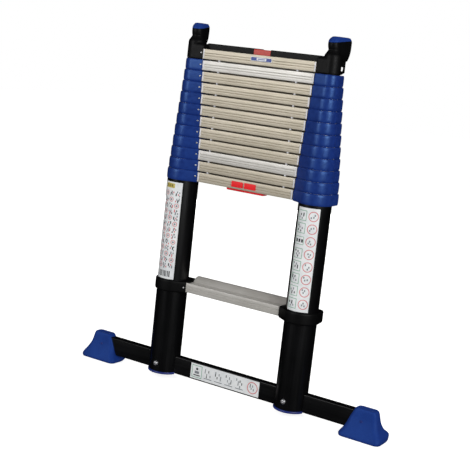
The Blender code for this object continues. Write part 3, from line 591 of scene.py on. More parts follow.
def collar_outline(section, ring, lobe_radius):
    """A collar from above, on the right stile: a ring, the boss of its rung, and a lobe at the back."""
    radius = tube_radius(section)
    reach = LOBE_REACH * radius - LOBE_SETBACK - lobe_radius
    lobe = arc((reach, RUNG_REAR - lobe_radius), lobe_radius, -10, 100, 16) if lobe_radius else []
    outline = hull(circle(radius + ring, 120) + boss_corners(section) + lobe)
    dense = []
    for here, after in zip(outline, outline[1:] + outline[:1]):
        count = max(1, round((Vector(after) - Vector(here)).length / OUTLINE_STEP))
        dense += [tuple(Vector(here).lerp(Vector(after), i / count)) for i in range(count)]
    return dense


def creased(outline, angle, depth, width):
    """The outline with a shallow upright crease at one angle round the tube."""
    result = []
    for point, inner in zip(outline, offset(outline, 1.0)):
        here = math.degrees(math.atan2(point[1], point[0]))
        share = depth * math.exp(-((here - angle) / width) ** 2)
        result.append((point[0] + (inner[0] - point[0]) * share, point[1] + (inner[1] - point[1]) * share))
    return result


def rounded_levels(low, high, edge_height, edge_inset, steps=6):
    """(height, inset) of a band whose upper and lower edges are rounded off."""
    levels = []
    for i in range(steps + 1):
        t = math.radians(90 * i / steps)
        levels.append((low + edge_height * (1 - math.cos(t)), edge_inset * (1 - math.sin(t))))
    return levels + [(low + high - height, inset) for height, inset in reversed(levels)]


def band(outline, levels, bore):
    """A collar: the outline stacked in levels, and a bore given as (radius, height) from top to bottom."""
    loops = inset_loops(outline, levels)
    angles = [math.atan2(y, x) for x, y in outline]
    for radius, height in bore:
        loops.append([(radius * math.cos(a), radius * math.sin(a), height) for a in angles])
    return skin(loops, ring=True)


def rivet(section, outline, height, body, name, side):
    """A small domed rivet in the front of a collar's boss: only the left stile shows them."""
    if side > 0:
        return
    x = -(tube_radius(section) + RUNG_END_INSET - RIVET_INSET)
    for (x1, y1), (x2, y2) in zip(outline, outline[1:] + outline[:1]):
        if y1 < 0 and min(x1, x2) <= x <= max(x1, x2) and x1 != x2:
            y = y1 + (y2 - y1) * (x - x1) / (x2 - x1)
            normal = Vector((y2 - y1, x1 - x2, 0)).normalized()
            break
    else:
        raise RuntimeError(f"no place for {name}")
    turn = normal.to_track_quat("Z", "Y").to_matrix().to_4x4()
    shape = moved(turned(RIVET_PROFILE, 24), Matrix.Translation((x, y, height)) @ turn)
    piece(name, at_stile(shape, side), "zinc_plated_steel", body, "zinc_plated_steel")


def collar(section, side_name, side):
    """A gloss blue collar, with its rivet on the left stile."""
    bottom = rung_bottom(section)
    outline = collar_outline(section, COLLAR_RING, COLLAR_LOBE)
    outline = creased(outline, CREASE_ANGLE, CREASE_DEPTH, CREASE_WIDTH)
    levels = rounded_levels(COLLAR_LOW, COLLAR_HIGH, *COLLAR_ROUNDING)
    outer = tube_radius(section)
    if section > BASE_SECTION:
        levels = [(COLLAR_LOW - COLLAR_LIP, COLLAR_LIP_INSET)] + levels
    way = outer - TUBE_WALL + MOULDED_IN
    seat = outer + (FIT if section == BASE_SECTION else -MOULDED_IN)
    ledge = COLLAR_HIGH - COLLAR_LEDGE
    bore = ((way + BORE_CHAMFER, COLLAR_HIGH), (way, COLLAR_HIGH - BORE_CHAMFER), (way, ledge), (seat, ledge),
            (seat, levels[0][0]))
    node = f"collar_02_{side_name}" if section == BASE_SECTION else f"stile_{section:02d}_{side_name}"
    shape = at_stile(raised(band(outline, levels, bore), bottom), side)
    slot = "blue_nylon" if section == BASE_SECTION else "blue_collared_tube"
    body, name = body_of(section), f"{section:02d}_{side_name}"
    piece(f"blue_collar_{name}", shape, "blue_gloss_nylon", body, slot, node)
    rivet(section, outline, bottom + COLLAR_RIVET, body, f"collar_rivet_{name}", side)


def clamp(side_name, side):
    """The black clamp that holds rung 1 on a base tube."""
    bottom = rung_bottom(1)
    outline = collar_outline(BASE_SECTION, CLAMP_RING, CLAMP_LOBE)
    levels = rounded_levels(CLAMP_LOW, CLAMP_HIGH, *CLAMP_ROUNDING)
    seat = BASE_RADIUS + FIT
    shape = band(outline, levels, ((seat, CLAMP_HIGH), (seat, CLAMP_LOW)))
    piece(f"black_clamp_{side_name}", at_stile(raised(shape, bottom), side), "black_moulded_nylon", "base",
          "black_nylon", f"collar_01_{side_name}")
    rivet(BASE_SECTION, outline, bottom + CLAMP_RIVET, "base", f"clamp_rivet_{side_name}", side)


# Rungs


def plain_profile():
    """The rung's section in (y, z), clockwise from its front bottom edge, with sharp corners."""
    rise = RIDGE_HEIGHT - TREAD_HEIGHT
    return [
        (-RUNG_FRONT, 0.0), (-RUNG_FRONT, FACE_HEIGHT), (-RUNG_FRONT + LIP_WIDTH, FACE_HEIGHT),
        (-RUNG_FRONT + 2 * LIP_WIDTH, TREAD_HEIGHT), (TREAD_BACK, TREAD_HEIGHT),
        *[(TREAD_BACK + run, TREAD_HEIGHT + rise * share) for run, share in RIDGE_SLOPE],
        *[(RUNG_REAR - before, RIDGE_HEIGHT - drop) for before, drop in RIDGE_BACK],
        (RUNG_REAR, REAR_UNDERSIDE), (TREAD_BACK + REAR_WEB, REAR_UNDERSIDE), (TREAD_BACK + BOTTOM_BACK, 0.0),
    ]


def ribbed(start, end, pitch, depth):
    """Points from start to end with V grooves cut to the right of the way, a pitch apart."""
    start, end = Vector(start), Vector(end)
    along = (end - start).normalized()
    into = Vector((along.y, -along.x))
    count = int((end - start).length / pitch) - 1
    first = ((end - start).length - (count - 1) * pitch) / 2
    half = GROOVE_SLOPE * depth + GROOVE_EDGE
    points = []
    for i in range(count):
        middle = start + along * (first + i * pitch)
        for shift, sink in ((-half, 0), (0, depth), (half, 0)):
            points.append(tuple(middle + along * shift + into * sink))
    return points


def rung(section, sizes):
    """An extruded rung with a grooved face and tread, hollow from end to end.

    The bore has a point for each point of the outline, so that the two join into a closed shape.
    """
    plain = plain_profile()
    plain[0] = (-RUNG_FRONT, -RUNG_SKIRT)
    plain += [(-RUNG_FRONT + SKIRT_UPPER, 0.0), (-RUNG_FRONT + SKIRT_LOWER, -RUNG_SKIRT)]
    outline = softened(plain, RUNG_CORNER, CORNER_STEPS)
    hollow = plain_profile() + [(TREAD_BACK - before, 0.0) for before in SPARE_POINTS]
    inner = offset(softened(hollow, RUNG_CORNER, CORNER_STEPS), -RUNG_WALL)
    face_edge = ((-RUNG_FRONT, RIB_MARGIN), (-RUNG_FRONT, FACE_HEIGHT - 2 * RIB_MARGIN))
    tread_edge = ((-RUNG_FRONT + 2 * LIP_WIDTH + RIB_MARGIN, TREAD_HEIGHT),
                  (TREAD_BACK - RIB_MARGIN, TREAD_HEIGHT))
    # the grooves of the face follow the first rounded corner, and those of the tread the fourth
    grooves = {
        CORNER_STEPS: ribbed(*face_edge, sizes.face_rib_pitch, FACE_RIB_DEPTH),
        4 * CORNER_STEPS + 3: ribbed(*tread_edge, sizes.tread_rib_pitch, TREAD_RIB_DEPTH),
    }
    grooved, bore = [], []
    for i in range(len(outline)):
        grooved.append(outline[i])
        bore.append(inner[i])
        extra = grooves.get(i, [])
        grooved += extra
        for k in range(len(extra)):
            bore.append(tuple(Vector(inner[i]).lerp(Vector(inner[i + 1]), (k + 1) / (len(extra) + 1))))
    half = rung_end(section)
    shape = raised(along_x(grooved, -half, half, bore), rung_bottom(section))
    # rungs 1, 4 and 12 take the paler finish: a more silver tone, and on rung 1 also painted reflection
    finish = "pale_tone_and_sheen_rung" if section in PALE_TONE_AND_SHEEN_RUNGS else "champagne_anodised_rung"
    piece(f"ribbed_rung_{section:02d}", shape, finish, body_of(section), "champagne_anodised_aluminium",
          f"rung_{section:02d}", sharp=24)


def end_trims(section):
    """The pale trims that close the face of a rung at both ends."""
    end = rung_end(section)
    low = (end - TRIM_INNER, -RUNG_FRONT - TRIM_PROUD, TRIM_LOW)
    high = (end - TRIM_OUTER, -RUNG_FRONT + TRIM_SUNK, TRIM_HIGH)
    both = bmesh.new()
    for side in SIDES.values():
        add_shape(both, on_side(block(low, high, TRIM_EDGE), side))
    piece(f"rung_end_trims_{section:02d}", raised(both, rung_bottom(section)), "pale_moulded_nylon",
          body_of(section), "champagne_anodised_aluminium")


def buffers(section):
    """Two pale buffers under a rung, which keep it off the rung below."""
    low = (BUFFER_START, -RUNG_FRONT + BUFFER_FRONT, -BUFFER_DROP)
    high = (BUFFER_END, -RUNG_FRONT + BUFFER_BACK, -RUNG_SKIRT + BUFFER_SUNK)
    for side_name, side in SIDES.items():
        shape = raised(on_side(block(low, high, BUFFER_EDGE), side), rung_bottom(section))
        piece(f"stack_buffer_{section:02d}_{side_name}", shape, "pale_moulded_nylon", body_of(section),
              "black_nylon")


# Release unit


def release_button(side_name, side):
    """A red button in the face of rung 2, with upright finger grooves."""
    node = f"release_button_{side_name}"
    low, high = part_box(node)
    inner, outer = min(abs(low.x), abs(high.x)), max(abs(low.x), abs(high.x))
    front, back = low.y - AXIS_Y, high.y - AXIS_Y
    outline = [(inner, back), (inner, front), (outer, front), (outer, back)]
    start, end = inner + BUTTON_GROOVE_MARGIN, outer - BUTTON_GROOVE_MARGIN
    outline[2:2] = ribbed((start, front), (end, front), BUTTON_GROOVE_PITCH, -BUTTON_GROOVE_DEPTH)
    middle = Vector(((inner + outer) / 2, (front + back) / 2))
    loops = []
    for height, inset in rounded_levels(low.z, high.z, *BUTTON_ROUNDING, 3):
        share = Vector((1 - inset / (outer - middle.x), 1 - inset / (back - middle.y)))
        loops.append(at_height([middle + (Vector(point) - middle) * share for point in outline], height))
    piece(f"grooved_{node}", on_side(skin(loops), side), "red_moulded_abs", f"button_{side_name}",
          "red_plastic", node)


def lock_pin(side_name, side):
    """A steel lock pin with a chamfered nose."""
    node = f"lock_pin_{side_name}"
    low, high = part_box(node)
    start, end = min(abs(low.x), abs(high.x)), max(abs(low.x), abs(high.x))
    radius, height = (high.z - low.z) / 2, (low.z + high.z) / 2
    profile = [(radius - PIN_EDGE, start), (radius, start + PIN_EDGE)]
    profile += [(radius - inset, end - back) for inset, back in PIN_NOSE]
    shape = moved(turned(profile, 48), Matrix.Rotation(math.pi / 2, 4, "Y"))
    piece(f"turned_{node}", on_side(raised(shape, height), side), "zinc_plated_steel", f"pin_{side_name}",
          "zinc_plated_steel", node)


def release_tray():
    """The red tray under the middle of rung 2."""
    low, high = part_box("release_tray")
    corners = (low.x, low.y - AXIS_Y), (high.x, high.y - AXIS_Y)
    outline = rounded_rectangle(*corners, TRAY_CORNER)
    levels = [(low.z + height, inset) for height, inset in TRAY_LEVELS] + [(high.z, 0.0)]
    piece("rounded_release_tray", stacked(outline, levels), "red_moulded_abs", "base", "red_plastic",
          "release_tray")


# Foot of the ladder


def bar_space():
    """The room of the stabiliser bar in the foot of both tubes, open to below."""
    half = (BAR_HIGH.y - BAR_LOW.y) / 2 + FIT
    return block((BAR_LOW.x - MARGIN, -half, -MARGIN), (BAR_HIGH.x + MARGIN, half, BAR_HIGH.z + FIT))


def stabiliser_bar():
    half = (BAR_HIGH.y - BAR_LOW.y) / 2
    outline = rounded_rectangle((-half, BAR_LOW.z), (half, BAR_HIGH.z), BAR_CORNER)
    shape = along_x(outline, BAR_LOW.x, BAR_HIGH.x, offset(outline, BAR_WALL))
    piece("hollow_stabiliser_bar", shape, "black_anodised_bar", "base", "black_anodised_aluminium",
          "stabiliser_bar")


def tube_plug(side_name, side):
    node = f"tube_plug_{side_name}"
    low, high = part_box(node)
    flange = (high.x - low.x) / 2
    seat, inner = TUBE_LOW.z - FIT, BASE_RADIUS - TUBE_WALL - FIT
    profile = [(flange - inset, low.z + height) for inset, height in PLUG_SOLE]
    profile += [(flange - inset, seat - below) for inset, below in PLUG_SHOULDER]
    profile += [(inner, seat), (inner, high.z)]
    shape = combined(at_stile(turned(profile), side), bar_space())
    piece(f"flanged_{node}", shape, "dark_blue_moulded_plastic", "base", "blue_rubber", node)


def stabiliser_bolt(side_name, side):
    """A domed bolt with a hexagon socket, and its nut on the far side."""
    node = f"stabiliser_bolt_{side_name}"
    low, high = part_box(node)
    height = (low.z + high.z) / 2
    front = -BASE_RADIUS - FIT
    socket = []
    for i in range(BOLT_SIDES):
        a = 2 * math.pi * i / BOLT_SIDES
        reach = SOCKET_REACH / math.cos((a % (math.pi / 3)) - math.pi / 6)
        socket.append((reach * math.cos(a), reach * math.sin(a)))
    end = BASE_RADIUS + FIT + BOLT_END - front
    loops = [at_height(socket, -SOCKET_DEPTH), at_height(socket, BOLT_DOME[0][1])]
    profile = (*BOLT_DOME, (BOLT_RADIUS, 0.0), (BOLT_RADIUS, end - BOLT_CHAMFER), (BOLT_TIP, end))
    loops += [at_height(circle(radius, BOLT_SIDES), z) for radius, z in profile]
    place = Matrix.Translation((0, front, height)) @ Matrix.Rotation(-math.pi / 2, 4, "X")
    piece(f"domed_{node}", at_stile(moved(skin(loops), place), side), "zinc_plated_steel", "base",
          "zinc_plated_steel", node)
    hexagon = softened(circle(NUT_REACH, 6), NUT_CORNER, 3)
    start = BASE_RADIUS + FIT - front
    nut = skin([[(x * k, y * k, start + z) for x, y in hexagon] for z, k in NUT_LEVELS])
    piece(f"hexagon_nut_{side_name}", at_stile(moved(nut, place), side), "zinc_plated_steel", "base",
          "zinc_plated_steel", node)


def between(levels, position):
    """A row of numbers between two levels, on a smooth curve through all of them."""
    i = min(int(position), len(levels) - 2)
    t = position - i
    a, b, c, d = (levels[max(0, min(len(levels) - 1, j))] for j in (i - 1, i, i + 1, i + 2))
    return [
        0.5 * (2 * q + (r - p) * t + (2 * p - 5 * q + 4 * r - s) * t * t + (3 * q - p - 3 * r + s) * t ** 3)
        for p, q, r, s in zip(a, b, c, d)
    ]


def foot(side_name, side):
    """A rubber foot pushed on the end of the bar. The sole rises at the rear and has cross grooves."""
    node = f"foot_{side_name}"
    half_bar = (BAR_HIGH.y - BAR_LOW.y) / 2
    end = BAR_HIGH.x
    loops = []
    for i in range(FOOT_STEPS * (len(FOOT_LEVELS) - 1) + 1):
        height, rise, reach_in, reach_out, rubber = between(FOOT_LEVELS, i / FOOT_STEPS)
        tuck = FOOT_TUCK * (1 - min(1, i / 2)) ** 2
        depth = half_bar + rubber - tuck
        low, high = (end - reach_in + tuck, -depth), (end + reach_out - tuck, depth)
        outline = rounded_rectangle(low, high, min(FOOT_CORNER, 0.7 * depth))
        loops.append([(x, y, max(0, height) + rise * (y / depth + 1) / 2) for x, y in outline])
    shape = skin(loops)
    pocket_low = (end - POCKET_DEPTH, -half_bar - FIT, BAR_LOW.z - FIT)
    shape = combined(shape, block(pocket_low, (end + FIT, half_bar + FIT, BAR_HIGH.z + FIT)))
    depth = half_bar + FOOT_LEVELS[0][4]
    slope, back = SOLE_RISE / (depth - SOLE_FLAT), depth + MARGIN
    wedge = ((SOLE_FLAT - MARGIN / slope, -MARGIN), (back, -MARGIN), (back, slope * (back - SOLE_FLAT)))
    shape = combined(shape, along_x(wedge, end - POCKET_DEPTH, end + FOOT_OUTER))
    grooves = bmesh.new()
    for i in range(SOLE_GROOVES):
        x = end - SOLE_GROOVE_START + i * SOLE_GROOVE_PITCH
        add_shape(grooves, block((x, SOLE_GROOVE_FRONT, -0.004),
                                 (x + SOLE_GROOVE_WIDTH, SOLE_GROOVE_BACK, SOLE_GROOVE_DEPTH)))
    shape = combined(shape, grooves)
    piece(f"rubber_{node}", on_side(shape, side), "blue_moulded_rubber", "base", "blue_rubber", node,
          sharp=40)


def foot_screw(side_name, side):
    """The small pan-head screw that holds a foot on the bar."""
    front = -(BAR_HIGH.y - BAR_LOW.y) / 2 - FOOT_SCREW_REACH
    place = Matrix.Translation((BAR_HIGH.x - FOOT_SCREW_INSET, front, FOOT_SCREW_HEIGHT))
    shape = moved(turned(FOOT_SCREW_PROFILE, 32), place @ Matrix.Rotation(math.pi / 2, 4, "X"))
    piece(f"foot_screw_{side_name}", on_side(shape, side), "dark_blue_moulded_plastic", "base", "blue_rubber")


# Top of the ladder


def head_shape():
    """The outside of a cap's head and its rubber: a round-ended block along the pad's direction."""
    loops = []
    for i in range(HEAD_STEPS * (len(HEAD_LEVELS) - 1) + 1):
        height, front, rear, half = between(HEAD_LEVELS, i / HEAD_STEPS)
        outline = arc((0, rear - half), half, 0, 180, 20) + arc((0, front + half), half, 180, 360, 20)
        loops.append(at_height(outline, height))
    last = loops.pop()
    middle = sum(y for x, y, z in last) / len(last)
    for share, rise in HEAD_CROWN:
        loops.append([(x * share, middle + (y - middle) * share, z + rise) for x, y, z in last])
    return moved(skin(loops), Matrix.Rotation(-PAD_SPLAY, 4, "Z"))


def pad_seat(gap):
    """The space under the rubber pad, grown by a gap."""
    rear, front = PAD_REACH - PAD_FACE + gap, -PAD_REACH
    profile = ((front, 0.0), (rear, 0.0), (rear, PAD_SEAT[1] + gap), (front, PAD_SEAT[0] + gap))
    return moved(along_x(profile, -PAD_REACH, PAD_REACH), Matrix.Rotation(-PAD_SPLAY, 4, "Z"))


def cap_fin():
    """The upright fin behind a cap, under its head, with a hole for a strap."""
    end = PAD_REACH - PAD_FACE - FIN_PAD_GAP
    profile = [(FIN_START, FIN_LOW), (FIN_BEND, FIN_LOW), (end, FIN_BACK_LOW)]
    profile += [(end, FIN_TOP), (FIN_START, FIN_TOP)]
    fin = along_x(softened(profile, FIN_CORNER), -FIN_HALF, FIN_HALF)
    (y1, z1), (y2, z2) = STRAP_HOLE
    hole = softened([(y1, z1), (y2, z1), (y2, z2), (y1, z2)], STRAP_HOLE_CORNER)
    fin = combined(fin, along_x(hole, -MARGIN, MARGIN))
    return moved(fin, Matrix.Rotation(-PAD_SPLAY, 4, "Z"))


def top_cap(side_name, side):
    """The cap: a boss for the top rung, a neck, a fin, and a head for the wall pad."""
    node = f"top_cap_{side_name}"
    radius = tube_radius(TOP_SECTION) + CAP_RING
    outline = collar_outline(TOP_SECTION, CAP_RING, 0)
    neck = turned([(radius * share, height) for share, height in CAP_NECK])
    shape = combined(stacked(outline, CAP_LEVELS), neck, "UNION")
    shape = combined(shape, cap_fin(), "UNION")
    head = combined(head_shape(), pad_seat(0.0), "INTERSECT")
    shape = melted(combined(shape, head, "UNION"), MELT_GRAIN, MELT_ROUNDS)
    inner, outer = tube_radius(TOP_SECTION) + FIT, radius - CAP_LIP_INSET
    shape = combined(shape, turned(((inner, -MARGIN), (inner, CAP_BORE_TOP))))
    lip = ((outer, CAP_LIP_LOW), (outer, CAP_LIP_HIGH), (inner, CAP_LIP_HIGH), (inner, CAP_LIP_LOW))
    add_shape(shape, turned(lip, ring=True))
    bottom = rung_bottom(TOP_SECTION)
    piece(f"moulded_{node}", at_stile(raised(shape, bottom), side), "black_moulded_nylon",
          body_of(TOP_SECTION), "black_nylon", node, sharp=60)
    rivet(TOP_SECTION, outline, bottom + CAP_RIVET, body_of(TOP_SECTION), f"cap_rivet_{side_name}", side)


def wall_pad(side_name, side):
    node = f"wall_pad_{side_name}"
    shape = combined(head_shape(), pad_seat(FIT))
    shape = raised(shape, rung_bottom(TOP_SECTION))
    piece(f"moulded_{node}", at_stile(shape, side), "blue_moulded_rubber", body_of(TOP_SECTION),
          "blue_rubber", node, sharp=45)


def cover_profile(front, back, bottom, top):
    return softened([(front, bottom), (back, bottom), (back, top), (front, top)], COVER_CORNER)


def top_cover():
    """The black cover on the top rung's ridge, and the red tab in its middle."""
    bottom = rung_bottom(TOP_SECTION)
    low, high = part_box("top_rung_cover")
    front, back = low.y - AXIS_Y, high.y - AXIS_Y
    under = softened(offset(plain_profile(), FIT), RUNG_CORNER)
    low_edge, top = TREAD_HEIGHT - COVER_HANG, high.z - bottom
    shape = along_x(cover_profile(front, back, low_edge, top), low.x, high.x)
    shape = combined(shape, along_x(under, low.x - MARGIN, high.x + MARGIN))
    tab_low, tab_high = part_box("red_tab")
    gap, bridge = tab_high.x + FIT, tab_high.y - AXIS_Y + FIT
    shape = combined(shape, block((-gap, front - MARGIN, 0), (gap, bridge, top + MARGIN)))
    drop = tab_high.z - bottom - FIT
    shape = combined(shape, block((-gap, bridge - MARGIN, drop), (gap, back + MARGIN, top + MARGIN)))
    piece("rounded_rung_cover", raised(shape, bottom), "black_moulded_nylon", body_of(TOP_SECTION),
          "black_nylon", "top_rung_cover")
    profile = cover_profile(tab_low.y - AXIS_Y, tab_high.y - AXIS_Y, low_edge, tab_high.z - bottom)
    tab = combined(along_x(profile, tab_low.x, tab_high.x), along_x(under, -gap, gap))
    piece("rounded_red_tab", raised(tab, bottom), "dull_red_moulded_abs", body_of(TOP_SECTION), "red_plastic",
          "red_tab")


# Labels. Their marks are plain boxes, rings, bars and dots, given in millimetres across and up the label.


def on_tube(side, first_angle, bottom):
    """Places label points on a base tube. Angle 0 faces the front, in degrees towards +X."""
    def place(across, up, out):
        angle = math.radians(first_angle) + across / 1000 / BASE_RADIUS
        reach = BASE_RADIUS + out
        return (side * AXIS_X + reach * math.sin(angle), -reach * math.cos(angle), bottom + up / 1000)
    return place


def on_front(left, bottom, front):
    """Places label points on a flat front face."""
    def place(across, up, out):
        return (left + across / 1000, front - out, bottom + up / 1000)
    return place


def rectangle(left, low, right, high, parts=6):
    """A rectangle's outline, whose upper and lower sides have points enough to bend round a tube."""
    across = [left + (right - left) * i / parts for i in range(parts + 1)]
    return [(x, low) for x in across] + [(x, high) for x in reversed(across)]


def strip(place, left, low, right, high, under, over):
    """A rectangle of film as a closed plate, in columns that bend with what it is stuck on."""
    count = max(1, math.ceil((right - left) / 2.0))
    columns = []
    for i in range(count + 1):
        x = left + (right - left) * i / count
        corners = ((low, under), (high, under), (high, over), (low, over))
        columns.append([place(x, up, out) for up, out in corners])
    return skin(columns)


def frame_plate(place, outer, inner, under, over):
    """A closed plate between two outlines of as many points: a ring or a frame."""
    loops = [[place(x, y, h) for x, y in line] for line, h in
             ((outer, under), (outer, over), (inner, over), (inner, under))]
    return skin(loops, ring=True)


def printed(place, kind, values, under, over):
    if kind == "bar":
        return strip(place, *values, under, over)
    if kind == "box":
        left, low, right, high, line = values
        inner = rectangle(left + line, low + line, right - line, high - line)
        return frame_plate(place, rectangle(left, low, right, high), inner, under, over)
    x, y, radius, line = values
    outer = arc((x, y), radius, 0, 345, 23)
    if kind == "dot":
        return skin([[place(a, b, h) for a, b in outer] for h in (under, over)])
    return frame_plate(place, outer, arc((x, y), radius - line, 0, 345, 23), under, over)


def label(name, place, width, height, marks, body, slot):
    """A white label and its marks, one piece for each ink. A mark is (ink, kind, values in mm)."""
    film = strip(place, 0, 0, width, height, FILM_BACK, FILM_FRONT)
    piece(name, film, "white_vinyl_label", body, slot)
    for finish in sorted({mark[0] for mark in marks}):
        shapes = bmesh.new()
        for each, kind, values in marks:
            if each == finish:
                add_shape(shapes, printed(place, kind, values, INK_BACK, INK_FRONT))
        piece(f"{name}_{finish}", shapes, finish, body, slot)


def scatter(count, left, low, right, high, seed):
    """Small marks spread evenly but irregularly, the same at every run."""
    spots = []
    for i in range(count):
        a, b = ((0.5 + (i + seed) * share) % 1 for share in SCATTER_STEPS)
        spots.append((left + (right - left) * a, low + (high - low) * b))
    return spots


def tube_marks_right(width, height):
    """Two columns: framed boxes on the left, rings on the right."""
    marks, rows = [], 8
    pitch = (height - 8) / rows
    for row in range(rows):
        low = 4 + row * pitch
        middle = low + pitch / 2
        right = width * 0.75
        if row == 5:
            marks.append((GREEN, "box", (3, low + 6, width * 0.46, low + pitch - 5, 1.2)))
            for i in range(3):
                marks.append((DARK, "bar", (5 + i * 8, middle - 4, 10 + i * 8, middle + 4)))
        else:
            marks.append((GREEN, "box", (3, low + 3, width * 0.46, low + pitch - 3, 1.4)))
            for i, (x, y) in enumerate(scatter(5, 7, low + 8, width * 0.38, low + pitch - 8, row)):
                marks.append((GREY if i % 2 else DARK, "bar",
                              (x - 1.5, y - 2.5, x + 1.5, y + 2.5)))
        marks.append((RED, "ring", (right, middle, min(width * 0.21, pitch * 0.46), 1.9)))
        for x, y in scatter(3, right - 6, middle - 6, right + 6, middle + 6, row + 3):
            marks.append((GREY, "bar", (x - 1.6, y - 2.2, x + 1.6, y + 2.2)))
    return marks


def tube_marks_left(width, height):
    """A yellow box on top, then three columns of small mixed marks, and a block of bars at the foot."""
    marks = [(YELLOW, "bar", (4, height - 16, width * 0.62, height - 4))]
    for i in range(3):
        marks.append((DARK, "bar", (6 + i * 9, height - 13, 11 + i * 9, height - 7)))
    inks = (DARK, GREY, RED, GREY)
    rows, columns = 13, 3
    pitch, step = (height - 50) / rows, (width - 6) / columns
    for row in range(rows):
        for column in range(columns):
            x, y = 3 + (column + 0.5) * step, 28 + (row + 0.5) * pitch
            if (row + column) % 3 == 0:
                marks.append((RED, "ring", (x, y, 6.4, 1.5)))
                marks.append((GREY, "dot", (x, y, 2.6, 0)))
            else:
                for i, (a, b) in enumerate(scatter(6, x - 6, y - 6, x + 6, y + 6, row * 3 + column)):
                    marks.append((inks[(row + i) % 4], "bar", (a - 1.4, b - 2.2, a + 1.4, b + 2.2)))
    for i in range(9):
        marks.append((DARK, "bar", (6 + i * 4.4, 6, 7.6 + i * 4.4 + (i % 3) * 0.6, 22)))
    return marks


def bar_marks(width, height):
    marks = [(GREEN, "box", (4, 4, 36, height - 4, 1.6)),
             (DARK, "bar", (10, 9, 30, 12)), (GREY, "bar", (13, 15, 27, 22)),
             (DARK, "dot", (20, 28, 3.4, 0))]
    for column in range(4):
        left = 46 + column * 33
        for i, (x, y) in enumerate(scatter(6, left, 12, left + 22, height - 9, column + 1)):
            marks.append((GREY if i % 3 else DARK, "bar",
                          (x - 1.2, y - 3.2, x + 1.2, y + 3.2)))
        marks.append((GREY, "bar", (left - 2, 7, left + 22, 9)))
    marks.append((RED, "ring", (width - 20, height / 2, 16, 2.2)))
    for x, y in scatter(5, width - 27, height / 2 - 8, width - 13, height / 2 + 8, 2):
        marks.append((GREY, "bar", (x - 1.4, y - 2.8, x + 1.4, y + 2.8)))
    return marks


# Light and camera


def soft_light(name, place, width, height, power, mirrored):
    light = bpy.data.lights.new(name, "AREA")
    light.shape, light.size, light.size_y, light.energy = "RECTANGLE", width, height, power
    obj = bpy.data.objects.new(name, light)
    bpy.context.scene.collection.objects.link(obj)
    obj.location = place
    obj.visible_glossy = mirrored
    obj.rotation_euler = (Vector(LIGHT_TARGET) - obj.location).to_track_quat("-Z", "Y").to_euler()


def studio(colours):
    """The pale floor, the lights and the camera."""
    scene = bpy.context.scene
    floor = raw_object("studio_floor", block(FLOOR_LOW, FLOOR_HIGH, FLOOR_EDGE))
    floor.data.materials.append(bpy.data.materials["pale_studio_floor"])
    floor.visible_glossy = floor.visible_diffuse = False
    world = bpy.data.worlds.new("studio")
    world.use_nodes = True
    background = world.node_tree.nodes["Background"]
    background.inputs["Color"].default_value = linear(colours.surroundings)
    light_path = add_node(world.node_tree, "ShaderNodeLightPath")
    strength = add_node(world.node_tree, "ShaderNodeMapRange", {"To Min": ROOM_LIGHT, "To Max": 1.0},
                        [(0, light_path.outputs["Is Camera Ray"])])
    world.node_tree.links.new(strength.outputs[0], background.inputs["Strength"])
    scene.world = world
    world.cycles_visibility.glossy = False
    scene.view_settings.view_transform = "Standard"
    for light in LIGHTS:
        soft_light(*light)

    yaw, pitch, roll = (math.radians(angle) for angle in CAMERA_TURN)
    ahead = Vector((-math.sin(yaw) * math.cos(pitch), math.cos(yaw) * math.cos(pitch), -math.sin(pitch)))
    right = Vector((math.cos(yaw), math.sin(yaw), 0))
    up = right.cross(ahead)
    tilted_right = math.cos(roll) * right + math.sin(roll) * up
    tilted_up = -math.sin(roll) * right + math.cos(roll) * up
    camera = bpy.data.cameras.new("camera")
    camera.sensor_width, camera.lens = SENSOR_WIDTH, CAMERA_LENS
    obj = bpy.data.objects.new("camera", camera)
    scene.collection.objects.link(obj)
    place = Matrix((tilted_right, tilted_up, -ahead)).transposed().to_4x4()
    place.translation = Vector(CAMERA_PLACE) + Vector((0, AXIS_Y, 0))
    obj.matrix_world = place
    scene.camera = obj


# Add-on


class LADDER_PG_sizes(bpy.types.PropertyGroup):
    face_rib_pitch: FloatProperty(
        name="Face rib pitch", description="Distance between the grooves in a rung's face", default=0.0062,
        unit="LENGTH")
    tread_rib_pitch: FloatProperty(
        name="Tread rib pitch", description="Distance between the grooves in a rung's tread", default=0.0042,
        unit="LENGTH")
    label_bottom: FloatProperty(
        name="Label bottom", description="Height of the tube labels' lower edge", default=0.283,
        unit="LENGTH")
    label_top: FloatProperty(
        name="Label top", description="Height of the tube labels' upper edge", default=0.545, unit="LENGTH")


class LADDER_PG_colours(bpy.types.PropertyGroup):
    tube_black: StringProperty(name="Tubes", description="sRGB hex of the black tubes", default="#0b0b0d")
    nylon_black: StringProperty(name="Caps", description="sRGB hex of the black mouldings", default="#09090a")
    collar_blue: StringProperty(name="Collars", description="sRGB hex of the collars", default="#18317b")
    rubber_blue: StringProperty(name="Rubber", description="sRGB hex of feet and pads", default="#193682")
    rung_champagne: StringProperty(name="Rungs", description="sRGB hex of the rungs", default="#c2b9a7")
    release_red: StringProperty(name="Release", description="sRGB hex of the release unit", default="#f3262b")
    floor: StringProperty(name="Floor", description="sRGB hex of the floor", default="#f6f6f5")
    surroundings: StringProperty(name="Room", description="sRGB hex of the room's light", default="#ffffff")


def sizes():
    return bpy.context.scene.ladder_sizes


def colours():
    return bpy.context.scene.ladder_colours


class LADDER_OT_finishes(bpy.types.Operator):
    """Makes the ladder's finishes"""
    bl_idname = "ladder.finishes"
    bl_label = "Finishes"

    def execute(self, context):
        make_finishes(colours())
        return {"FINISHED"}


class LADDER_OT_tubes(bpy.types.Operator):
    """Builds the base tubes and the sliding tubes"""
    bl_idname = "ladder.tubes"
    bl_label = "Tubes"

    def execute(self, context):
        for side_name, side in SIDES.items():
            base_tube(side_name, side)
            for section in range(BASE_SECTION + 1, TOP_SECTION + 1):
                sliding_tube(section, side_name, side)
        return {"FINISHED"}


